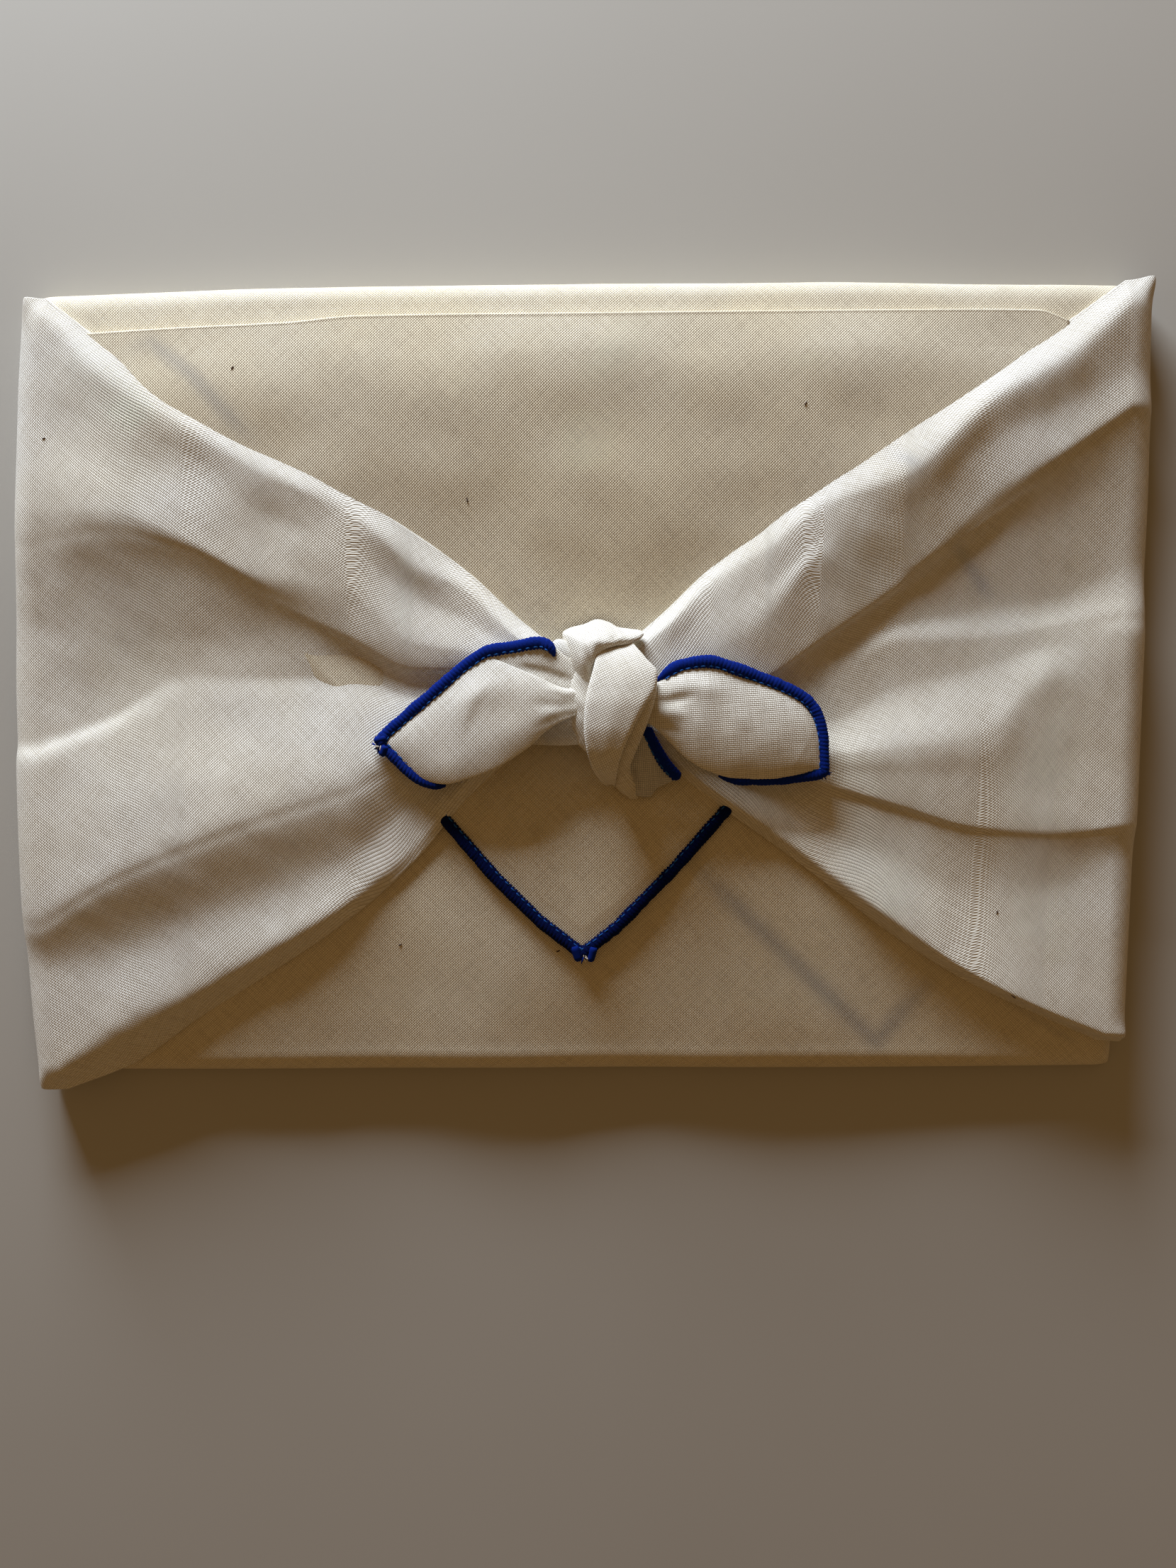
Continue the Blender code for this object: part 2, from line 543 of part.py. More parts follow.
def build():
    """Build the wrap."""
    clear_scene()
    wrap = new_collection("furoshiki_wrap")
    helpers = new_collection("helpers")
    cotton = new_material("cotton", COTTON, 0.9)
    thread = new_material("thread_blue", THREAD_BLUE, 0.7)

    cloth = loft("cloth", bundle_rings(), wrap, cotton)
    forms = [
        loft("top_flap", flap_rings(), helpers, cotton),
        loft("left_wing", wing_rings(LEFT_STATIONS, LEFT_WING, LEFT_SIDE_X), helpers, cotton),
        loft("right_wing", wing_rings(RIGHT_STATIONS, RIGHT_WING, RIGHT_SIDE_X), helpers, cotton),
        lobe("knot_core", *KNOT_CORE, helpers, cotton),
        lobe("knot_top_lobe", *KNOT_TOP_LOBE, helpers, cotton),
        lobe("knot_foot_lobe", *KNOT_FOOT_LOBE, helpers, cotton),
        loft("knot_turn", turn_rings(), helpers, cotton),
        loft("knot_foot", end_rings(KNOT_FOOT, 0.2), helpers, cotton),
        loft("left_end", end_rings(LEFT_END, 1.2), helpers, cotton),
        loft("left_end_back", end_rings(LEFT_END_BACK, 0.6), helpers, cotton),
        loft("right_end", end_rings(RIGHT_END, 1.2), helpers, cotton),
    ]
    joined(cloth, forms)

    routes = {
        "edging_flap": flap_route(),
        "edging_left_end": smooth_route(EDGING_LEFT_END, 2),
        "edging_right_end": smooth_route(EDGING_RIGHT_END, 2),
        "edging_knot": smooth_route(EDGING_KNOT, 2),
    }
    for name, route in routes.items():
        cord_mesh(name, route, EDGING_RADIUS, wrap, thread)
    grooves = [
        cord_mesh("groove_" + name, route, EDGING_RADIUS + CLEARANCE, helpers, cotton)
        for name, route in routes.items()
    ]
    cleared(cloth, grooves)
    hide(forms + grooves)
    settle()


build()
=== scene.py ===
"""Furoshiki wrap: a square cotton cloth folded round a flat bundle and tied in a knot on its face.

Sizes are in millimetres, in the tables' own plan: X along the bundle, Y up the face, Z off the table.
Each lay of cloth is a closed loft of rings of points, and every point knows where it lay on the flat
cloth, so that the weave follows the folds.
"""

import logging
from dataclasses import dataclass
from enum import Enum
from math import cos, pi, radians, sin

import bmesh
import bpy
import numpy as np
from mathutils import Matrix, Vector
from mathutils.bvhtree import BVHTree

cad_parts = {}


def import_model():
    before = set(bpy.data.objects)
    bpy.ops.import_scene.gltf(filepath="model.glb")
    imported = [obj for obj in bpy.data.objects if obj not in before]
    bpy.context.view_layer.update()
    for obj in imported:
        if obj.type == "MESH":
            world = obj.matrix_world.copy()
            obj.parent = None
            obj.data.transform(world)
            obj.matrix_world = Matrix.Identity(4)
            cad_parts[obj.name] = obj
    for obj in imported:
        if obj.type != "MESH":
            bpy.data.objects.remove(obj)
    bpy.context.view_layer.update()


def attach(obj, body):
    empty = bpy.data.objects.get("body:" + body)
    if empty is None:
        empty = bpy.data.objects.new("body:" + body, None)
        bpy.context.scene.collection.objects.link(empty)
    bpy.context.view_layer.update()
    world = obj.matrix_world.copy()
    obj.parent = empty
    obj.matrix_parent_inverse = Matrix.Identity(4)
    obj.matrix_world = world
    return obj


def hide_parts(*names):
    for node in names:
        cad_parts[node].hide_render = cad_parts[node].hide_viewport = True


LOG = logging.getLogger("furoshiki_wrap")

MM = 0.001
CENTIMETRE = 0.01
MIDDLE = (-0.9, -2.8)  # the wrap's own middle in the tables' plan, which stands at the frame's origin

FACE_HEIGHT = 6.4  # face of the bundle just inside its rounded edge
CROWN = 6.6  # how much the middle of the face stands above that
CROWN_HALF = (132.0, 95.0)
CROWN_FULL = (3.0, 8.0, 2.6)  # how long it stays flat before it falls to the sides, the top and the bottom
WAIST = 3.4  # how far the tight band across the middle sinks
WAIST_HALF = 54.0
WAIST_Y = 4.0
WAIST_FULL = 4  # how long it stays as deep before it fades to the sides
EDGE_ROUND = 5.5
THREAD_PITCH = 0.44  # from one thread of the cloth to the next
WAVES = 9  # plane waves in one field of unevenness
WAVE_SPREAD = (0.7, 1.6)  # the shortest and the longest of them, as parts of the middling one
CLOSING_POINTS = 2  # the last points of a wing's ring, which close it inside the bundle
STRAND_SIDES = 8  # of a short thin thread
STRAND_TAPER = 0.8  # a thread's radius at its end, as a part of that at its start
STRAND_TIPS = (0.75, 0.6)  # how much its first and last rings draw in
STRAND_LEAN = (0.3, 0.2, 0.93)  # a way that no thread runs along
STRAND_POINTS = 6  # along it

Route = tuple[tuple[float, ...], ...]
Colour = tuple[float, float, float]
Place = tuple[float, float, float]


class Weave(Enum):
    """How the threads lie to the long side of the wrap."""

    BIAS = radians(45.0)
    STRAIGHT = radians(4.0)
    STEEP = radians(28.0)


class Slot(Enum):
    """Material slots of the wrap."""

    CLOTH = "cotton_cloth"
    THREAD = "edge_thread"


class Held(Enum):
    """How a stretch of the cloth is held."""

    FOLDED = "folded"
    STRETCHED = "stretched"
    GATHERED = "gathered"
    LAID = "laid"


# ---------------------------------------------------------------- shapes


def through(knots: np.ndarray, values: np.ndarray, at: np.ndarray) -> np.ndarray:
    """Read a smooth curve that never swings past its knots (a monotone cubic).

    Args:
        knots: where the values stand, rising or falling.
        values: the value at each knot.
        at: where to read.

    Returns:
        The curve's value at each place.
    """
    knots, values, at = np.asarray(knots, float), np.asarray(values, float), np.asarray(at, float)
    if knots[0] > knots[-1]:
        knots, values = knots[::-1], values[::-1]
    gap = np.diff(knots)
    slope = np.diff(values) / gap
    tangent = np.zeros_like(values)
    inner = slope[:-1] * slope[1:] > 0
    harmonic = 2 * slope[:-1] * slope[1:] / np.where(inner, slope[:-1] + slope[1:], 1)
    tangent[1:-1] = np.where(inner, harmonic, 0)
    tangent[0], tangent[-1] = slope[0], slope[-1]
    cell = np.clip(np.searchsorted(knots, at) - 1, 0, len(gap) - 1)
    part = np.clip((at - knots[cell]) / gap[cell], 0, 1)
    square, cube = part**2, part**3
    return (
        (2 * cube - 3 * square + 1) * values[cell]
        + (cube - 2 * square + part) * gap[cell] * tangent[cell]
        + (3 * square - 2 * cube) * values[cell + 1]
        + (cube - square) * gap[cell] * tangent[cell + 1]
    )


def along(route: Route, count: int) -> np.ndarray:
    """Read a smooth curve through a route's points, evenly spaced by length.

    Args:
        route: the points of the route.
        count: how many points to return.

    Returns:
        An array of count points.
    """
    points = np.array(route, float)
    knots = np.concatenate([[0], np.cumsum(np.linalg.norm(np.diff(points, axis=0), axis=1))])
    fine = np.linspace(0, knots[-1], count * 4)
    curve = np.stack([through(knots, points[:, k], fine) for k in range(points.shape[1])], axis=1)
    lengths = np.concatenate([[0], np.cumsum(np.linalg.norm(np.diff(curve, axis=0), axis=1))])
    even = np.linspace(0, lengths[-1], count)
    return np.stack([np.interp(even, lengths, curve[:, k]) for k in range(points.shape[1])], axis=1)


def face_height(x: np.ndarray, y: np.ndarray) -> np.ndarray:
    """Height of the bundle's crowned face, drawn in along the waist where the wrap pulls tight."""
    fall_x = 1 - np.clip(np.abs(x) / CROWN_HALF[0], 0, 1) ** CROWN_FULL[0]
    full = np.where(np.asarray(y) > 0, CROWN_FULL[1], CROWN_FULL[2])
    fall_y = 1 - np.clip(np.abs(y) / CROWN_HALF[1], 0, 1) ** full
    waist = WAIST * np.cos(np.clip((np.asarray(y) - WAIST_Y) / WAIST_HALF, -1, 1) * pi / 2) ** 2
    waist = waist * (1 - np.clip(np.abs(x) / CROWN_HALF[0], 0, 1) ** WAIST_FULL)
    return FACE_HEIGHT + CROWN * fall_x * fall_y - waist


def unevenness(x: np.ndarray, y: np.ndarray, seed: int, length: float, height: float) -> np.ndarray:
    """Work out a soft uneven field, the sum of plane waves.

    Args:
        x: places along X.
        y: places along Y.
        seed: which field.
        length: a middling wave length.
        height: a middling height.

    Returns:
        The height of the field at each place.
    """
    rng = np.random.default_rng(seed)
    total = np.zeros(np.broadcast(x, y).shape)
    for _ in range(WAVES):
        heading, phase = rng.uniform(0, 2 * pi, 2)
        step = length * rng.uniform(*WAVE_SPREAD)
        total += np.sin(2 * pi * (x * cos(heading) + y * sin(heading)) / step + phase)
    return height * total / (WAVES / 2) ** 0.5


def to_path(x: np.ndarray, y: np.ndarray, path: Route) -> tuple[np.ndarray, np.ndarray, np.ndarray]:
    """Measure places against a path in the plan.

    Args:
        x: places along X.
        y: places along Y.
        path: the path's corners.

    Returns:
        The distance to the path, which side of it (1 is left of its way), and how far along it, 0 to 1.
    """
    corners = np.array(path, float)[:, :2]
    lengths = np.linalg.norm(np.diff(corners, axis=0), axis=1)
    starts = np.concatenate([[0], np.cumsum(lengths)])
    best = np.full(x.shape, np.inf)
    side, way = np.ones(x.shape), np.zeros(x.shape)
    for k, length in enumerate(lengths):
        head = (corners[k + 1] - corners[k]) / length
        dx, dy = x - corners[k, 0], y - corners[k, 1]
        part = np.clip(dx * head[0] + dy * head[1], 0, length)
        gap = np.hypot(dx - head[0] * part, dy - head[1] * part)
        nearer = gap < best
        best = np.where(nearer, gap, best)
        side = np.where(nearer, np.sign(head[0] * dy - head[1] * dx), side)
        way = np.where(nearer, (starts[k] + part) / starts[-1], way)
    return best, side, way


@dataclass(frozen=True)
class UnderEdge:
    """An edge of a layer below that shows through the sheer cloth as a soft dark line.

    Attributes:
        path: x, y of its corners in the plan.
        width: half of its width.
        depth: how dark it is, 0 to 1.
        fade: how much of its length fades in and out at each end.
    """

    path: Route
    width: float = 1.2
    depth: float = 1.0
    fade: float = 0.15

    def shade(self, x: np.ndarray, y: np.ndarray) -> np.ndarray:
        """Work out how dark the line makes each place, 0 to 1."""
        gap, _, way = to_path(x, y, self.path)
        ends = np.clip(np.minimum(way, 1 - way) / self.fade, 0, 1)
        return self.depth * np.exp(-((gap / self.width) ** 2)) * ends


def darkest(points: np.ndarray, edges: tuple[UnderEdge, ...]) -> np.ndarray:
    """Work out the darkest of several under edges at each point, 0 to 1."""
    shadow = np.zeros(points.shape[:2])
    for edge in edges:
        shadow = np.maximum(shadow, edge.shade(points[..., 0], points[..., 1]))
    return shadow


@dataclass(frozen=True)
class Crease:
    """A soft trough or ridge along a short path.

    Attributes:
        path: x, y of its corners in the plan.
        height: how far it stands up, or below nought how deep it is pressed.
        left: its width on the left of its way.
        right: its width on the right of its way.
        fade: how much of its length fades in and out at each end.
    """

    path: Route
    height: float
    left: float
    right: float
    fade: float = 0.3

    def lift(self, x: np.ndarray, y: np.ndarray) -> np.ndarray:
        """Work out how far the crease moves each place up."""
        gap, side, way = to_path(x, y, self.path)
        width = np.where(side > 0, self.left, self.right)
        ends = np.clip(np.minimum(way, 1 - way) / self.fade, 0, 1)
        ends = ends * ends * (3 - 2 * ends)
        return self.height * np.exp(-((gap / width) ** 2)) * ends


@dataclass
class Lay:
    """A lay of cloth as rings of points.

    Attributes:
        points: rings by points by x, y, z, in millimetres.
        flat: the same points on the flat cloth, in millimetres.
        shadow: how much of an under layer's edge shows through at each point, 0 to 1.
    """

    points: np.ndarray
    flat: np.ndarray
    shadow: np.ndarray | None = None

    def turned(self, angle: float) -> np.ndarray:
        """Turn the flat places, so that the threads lie at this angle to X."""
        c, s = cos(angle), sin(angle)
        u, v = self.flat[..., 0], self.flat[..., 1]
        return np.stack([u * c + v * s, v * c - u * s], axis=-1)

    def build(self, name: str, weave: float, finish: bpy.types.Material) -> bpy.types.Object:
        """Bridge the rings into a closed piece.

        Args:
            name: the piece's name.
            weave: the angle of the threads.
            finish: its material.

        Returns:
            The new object.
        """
        rings, count = self.points.shape[:2]
        index = np.arange(rings * count).reshape(rings, count)
        beside = np.roll(index, -1, axis=1)
        quads = np.stack([index[:-1], beside[:-1], beside[1:], index[1:]], axis=-1).reshape(-1, 4)
        faces = quads.tolist() + [index[0][::-1].tolist(), index[-1].tolist()]
        obj = mesh_piece(name, self.points.reshape(-1, 3), faces, finish)
        mesh = obj.data
        corner = np.empty(len(mesh.loops), np.int32)
        mesh.loops.foreach_get("vertex_index", corner)
        threads = mesh.uv_layers.new(name="threads")
        threads.uv.foreach_set("vector", (self.turned(weave).reshape(-1, 2) * MM)[corner].ravel())
        shade = mesh.attributes.new("under_edge", "FLOAT", "POINT")
        shadow = np.zeros(rings * count) if self.shadow is None else self.shadow.ravel()
        shade.data.foreach_set("value", shadow.astype(np.float32))
        return obj


def mesh_piece(name: str, points: np.ndarray, faces: list, finish: bpy.types.Material) -> bpy.types.Object:
    """Make a smooth piece from points in the tables' plan.

    Args:
        name: the piece's name.
        points: its points in millimetres.
        faces: its faces, by point.
        finish: its material.

    Returns:
        The new object, in the frame's place.
    """
    placed = (points - np.array([*MIDDLE, 0.0])) * MM
    mesh = bpy.data.meshes.new(name)
    mesh.from_pydata(placed.tolist(), [], faces)
    bm = bmesh.new()
    bm.from_mesh(mesh)
    bmesh.ops.recalc_face_normals(bm, faces=bm.faces)
    bm.to_mesh(mesh)
    bm.free()
    mesh.shade_smooth()
    mesh.materials.append(finish)
    obj = bpy.data.objects.new(name, mesh)
    bpy.context.scene.collection.objects.link(obj)
    return obj


def arc_length(points: np.ndarray, axis: int) -> np.ndarray:
    """Add up the length along one way of a grid of points, from nought."""
    steps = np.linalg.norm(np.diff(points, axis=axis), axis=-1)
    start = np.zeros_like(np.take(steps, [0], axis=axis))
    return np.concatenate([start, np.cumsum(steps, axis=axis)], axis=axis)


def ring_flat(points: np.ndarray, start: int) -> np.ndarray:
    """Lay the rings out flat: X stays, and the length round each ring from its start point replaces Y.

    Args:
        points: rings by points by x, y, z.
        start: the point of the ring from which the length counts.

    Returns:
        Rings by points by two flat places.
    """
    length = arc_length(points, 1)
    across = points[:, start, 1][:, None] - (length - length[:, start][:, None])
    return np.stack([points[..., 0], across], axis=-1)


# ---------------------------------------------------------------- finishes


class Nodes:
    """A short way to write a material's nodes."""

    def __init__(self, name: str) -> None:
        """Start a material with an output and a Principled shader."""
        self.material = bpy.data.materials.new(name)
        self.material.use_nodes = True
        self.tree = self.material.node_tree
        self.shader = self.tree.nodes["Principled BSDF"]

    def add(self, kind: str, **settings: object) -> bpy.types.Node:
        """Add a node and set its properties."""
        node = self.tree.nodes.new(kind)
        for key, value in settings.items():
            setattr(node, key, value)
        return node

    def put(self, socket: bpy.types.NodeSocket, value: object) -> None:
        """Link a socket, or set its number."""
        if isinstance(value, bpy.types.NodeSocket):
            self.tree.links.new(value, socket)
        else:
            socket.default_value = value

    def sum(self, operation: str, *values: object, clamp: bool = False) -> bpy.types.NodeSocket:
        """Work out one step of arithmetic."""
        node = self.add("ShaderNodeMath", operation=operation, use_clamp=clamp)
        for socket, value in zip(node.inputs, values):
            self.put(socket, value)
        return node.outputs[0]

    def blend(self, part: object, first: object, second: object) -> bpy.types.NodeSocket:
        """Mix two colours."""
        node = self.add("ShaderNodeMix", data_type="RGBA", clamp_factor=True)
        self.put(node.inputs["Factor"], part)
        for socket, value in zip((node.inputs[6], node.inputs[7]), (first, second)):
            self.put(socket, (*value, 1.0) if isinstance(value, tuple) else value)
        return node.outputs[2]

    def between(self, part: object, first: object, second: object) -> bpy.types.NodeSocket:
        """Mix two numbers."""
        node = self.add("ShaderNodeMix", data_type="FLOAT", clamp_factor=True)
        for socket, value in zip((node.inputs[0], node.inputs[2], node.inputs[3]), (part, first, second)):
            self.put(socket, value)
        return node.outputs[0]

    def noise(self, place: object, scale: float, detail: float = 2.0) -> bpy.types.NodeSocket:
        """Read a noise between 0 and 1."""
        node = self.add("ShaderNodeTexNoise")
        self.put(node.inputs["Vector"], place)
        node.inputs["Scale"].default_value = scale
        node.inputs["Detail"].default_value = detail
        return node.outputs["Fac"]

    def step(self, value: object, low: float, high: float) -> bpy.types.NodeSocket:
        """Rise smoothly from 0 at low to 1 at high."""
        node = self.add("ShaderNodeMapRange", interpolation_type="SMOOTHSTEP")
        for key, number in zip(("Value", "From Min", "From Max"), (value, low, high)):
            self.put(node.inputs[key], number)
        return node.outputs["Result"]

    def matt(self, roughness: float, gloss: float = 0.5) -> None:
        """Set how rough the finish is and how strongly it glances."""
        self.shader.inputs["Roughness"].default_value = roughness
        self.shader.inputs["Specular IOR Level"].default_value = gloss

    def raise_by(self, relief: bpy.types.NodeSocket, strength: float, height: float) -> None:
        """Stand a fine relief on the finish."""
        bump = self.add("ShaderNodeBump")
        bump.inputs["Strength"].default_value = strength
        bump.inputs["Distance"].default_value = height
        self.put(bump.inputs["Height"], relief)
        self.put(self.shader.inputs["Normal"], bump.outputs[0])


@dataclass(frozen=True)
class CottonSheeting:
    """Undyed plain-weave cotton: single threads over and under, with painted shade in the pinholes between
    them.
    """

    name: str = "cotton_sheeting"
    light: Colour = (0.86, 0.825, 0.745)
    creamy: Colour = (0.85, 0.79, 0.665)
    # Painted shade: the shade beneath the cloth, seen through the gaps between its threads.
    pinhole_shade: Colour = (0.33, 0.265, 0.175)
    under_edge: Colour = (0.20, 0.24, 0.33)
    roughness: float = 0.88
    gloss: float = 0.25
    sheen: float = 0.12
    sheen_roughness: float = 0.5
    cloud_scale: float = 28.0  # paler and creamier clouds to the metre
    cloud_edge: tuple[float, float] = (0.3, 0.7)
    wander: float = 0.5  # how far a thread strays to its side, in threads
    wander_scale: float = 140.0
    thread_round: float = 0.7  # lower is flatter on top
    thread_dip: float = 0.4  # how much lower a thread runs where it goes under
    crossing: float = 0.25  # how softly it does
    # The slub darkening takes the thin places of a thread towards the painted shade of the pinholes.
    slub: float = 0.34  # how much darker the thin places of a thread look
    slub_stretch: float = 0.07  # how far a slub is drawn out along its thread
    slub_width: float = 1.1  # in threads
    slub_height: float = 0.5
    thin: tuple[float, float] = (0.62, 0.30)  # where the slubs start and end to thin a thread
    hole: tuple[float, float] = (0.62, 0.10)  # where the weave starts and ends to fall into a pinhole
    low: tuple[float, float] = (0.75, 0.1)  # where a thread starts and ends to let an under edge through
    let_through: tuple[float, float] = (0.45, 1.0)  # how much of that edge shows, on a thread and in a hole
    bump: float = 0.8
    thread_height: float = 0.00016

    def make(self) -> bpy.types.Material:
        """Build the material."""
        n = Nodes(self.name)
        flat = n.add("ShaderNodeUVMap", uv_map="threads").outputs[0]
        split = n.add("ShaderNodeSeparateXYZ")
        n.put(split.inputs[0], flat)
        sway = n.noise(flat, self.wander_scale, 1.0)
        count = 1.0 / (THREAD_PITCH * MM)
        ways = []
        for k in range(2):
            thread = n.sum("MULTIPLY", split.outputs[k], count)
            ways.append(n.sum("ADD", thread, n.sum("MULTIPLY", sway, self.wander)))
        waves = [n.sum("SINE", n.sum("MULTIPLY", way, pi)) for way in ways]
        rounds = [n.sum("POWER", n.sum("ABSOLUTE", wave), self.thread_round) for wave in waves]
        on_top = n.step(n.sum("MULTIPLY", *waves), -self.crossing, self.crossing)
        dips = [n.sum("MULTIPLY_ADD", part, self.thread_dip, 1 - self.thread_dip) for part in rounds]
        warp = n.sum("MULTIPLY", rounds[0], dips[1])
        weft = n.sum("MULTIPLY", rounds[1], dips[0])
        height = n.between(on_top, weft, warp)
        slubs = []
        for stretch in ((1.0, self.slub_stretch, 1.0), (self.slub_stretch, 1.0, 1.0)):
            drawn = n.add("ShaderNodeVectorMath", operation="MULTIPLY")
            n.put(drawn.inputs[0], flat)
            drawn.inputs[1].default_value = stretch
            slubs.append(n.noise(drawn.outputs[0], 1.0 / (self.slub_width * THREAD_PITCH * MM), 1.5))
        slub = n.between(on_top, slubs[1], slubs[0])
        place = n.add("ShaderNodeTexCoord").outputs["Object"]
        cloud = n.step(n.noise(place, self.cloud_scale, 3.0), *self.cloud_edge)
        cloth = n.blend(cloud, self.light, self.creamy)
        # The thin places of a thread and the pinholes take the painted shade.
        cloth = n.blend(n.step(slub, *self.thin), cloth, n.blend(self.slub, cloth, self.pinhole_shade))
        cloth = n.blend(n.step(height, *self.hole), cloth, self.pinhole_shade)
        edge = n.add("ShaderNodeAttribute", attribute_name="under_edge").outputs["Fac"]
        showing = n.sum("MULTIPLY", edge, n.between(n.step(height, *self.low), *self.let_through))
        cloth = n.blend(showing, cloth, self.under_edge)
        n.put(n.shader.inputs["Base Color"], cloth)
        n.shader.inputs["Sheen Weight"].default_value = self.sheen
        n.shader.inputs["Sheen Roughness"].default_value = self.sheen_roughness
        n.matt(self.roughness, self.gloss)
        raised = n.sum("ADD", height, n.sum("MULTIPLY", slub, self.slub_height))
        n.raise_by(raised, self.bump, self.thread_height)
        return n.material


# Creamier cotton for the bundle and the top flap, where the cloth lies doubled; its warmer colour is also
# painted warm shade for their flat face, which the low light only grazes.
DOUBLED_COTTON_WITH_PAINTED_SHADE = CottonSheeting(
    "doubled_cotton_with_painted_shade",
    light=(0.86, 0.77, 0.59),
    creamy=(0.85, 0.74, 0.53),
    under_edge=(0.20, 0.205, 0.23),
)


@dataclass(frozen=True)
class LooperThread:
    """Spun blue thread, laid side by side in an overlocked edge, with painted shade between its fibres and
    painted highlight on their ridges.
    """

    name: str = "looper_thread"
    # deep is the painted shade in the gaps between the fibres, bright the painted highlight on their ridges.
    deep: Colour = (0.0015, 0.006, 0.075)
    bright: Colour = (0.004, 0.026, 0.27)
    roughness: float = 0.85
    gloss: float = 0.06
    strands: float = 5200.0  # lines of fibre to the metre
    skew: float = 0.35  # how far the fibres slant
    contrast: float = 0.25
    fuzz_scale: float = 2600.0
    bump: float = 0.5
    fibre_height: float = 0.00008

    def make(self) -> bpy.types.Material:
        """Build the material."""
        n = Nodes(self.name)
        flat = n.add("ShaderNodeUVMap", uv_map="threads").outputs[0]
        split = n.add("ShaderNodeSeparateXYZ")
        n.put(split.inputs[0], flat)
        skew = n.sum("MULTIPLY_ADD", split.outputs[1], self.skew, split.outputs[0])
        fibre = n.sum("SINE", n.sum("MULTIPLY", skew, 2 * pi * self.strands))
        fuzz = n.noise(flat, self.fuzz_scale, 3.0)
        # Painted shade and highlight follow the fibres' relief; the fuzz adds tone that varies at random.
        painted_fibre_light_and_fuzz = n.sum("MULTIPLY_ADD", fibre, self.contrast, fuzz, clamp=True)
        n.put(n.shader.inputs["Base Color"], n.blend(painted_fibre_light_and_fuzz, self.deep, self.bright))
        n.matt(self.roughness, self.gloss)
        n.raise_by(n.sum("ADD", fibre, fuzz), self.bump, self.fibre_height)
        return n.material


# Painted shade: a darker blue for the flap's edging, standing in for the knot's shade that falls on it.
PAINTED_SHADE_THREAD = LooperThread("painted_shade_thread", deep=(0.0007, 0.0022, 0.024), bright=(0.0015, 0.0085, 0.088))
NEEDLE_THREAD = LooperThread("needle_thread", deep=(0.008, 0.05, 0.24), bright=(0.03, 0.14, 0.46))


@dataclass(frozen=True)
class PlainFloor:
    """A pale matt table top."""

    name: str = "pale_floor"
    light: Colour = (0.47, 0.44, 0.385)
    dark: Colour = (0.44, 0.41, 0.355)
    mottle: float = 9.0
    roughness: float = 0.9

    def make(self) -> bpy.types.Material:
        """Build the material."""
        n = Nodes(self.name)
        place = n.add("ShaderNodeTexCoord").outputs["Object"]
        mottled = n.blend(n.noise(place, self.mottle, 3.0), self.light, self.dark)
        n.put(n.shader.inputs["Base Color"], mottled)
        n.matt(self.roughness)
        return n.material


# ---------------------------------------------------------------- the cloth


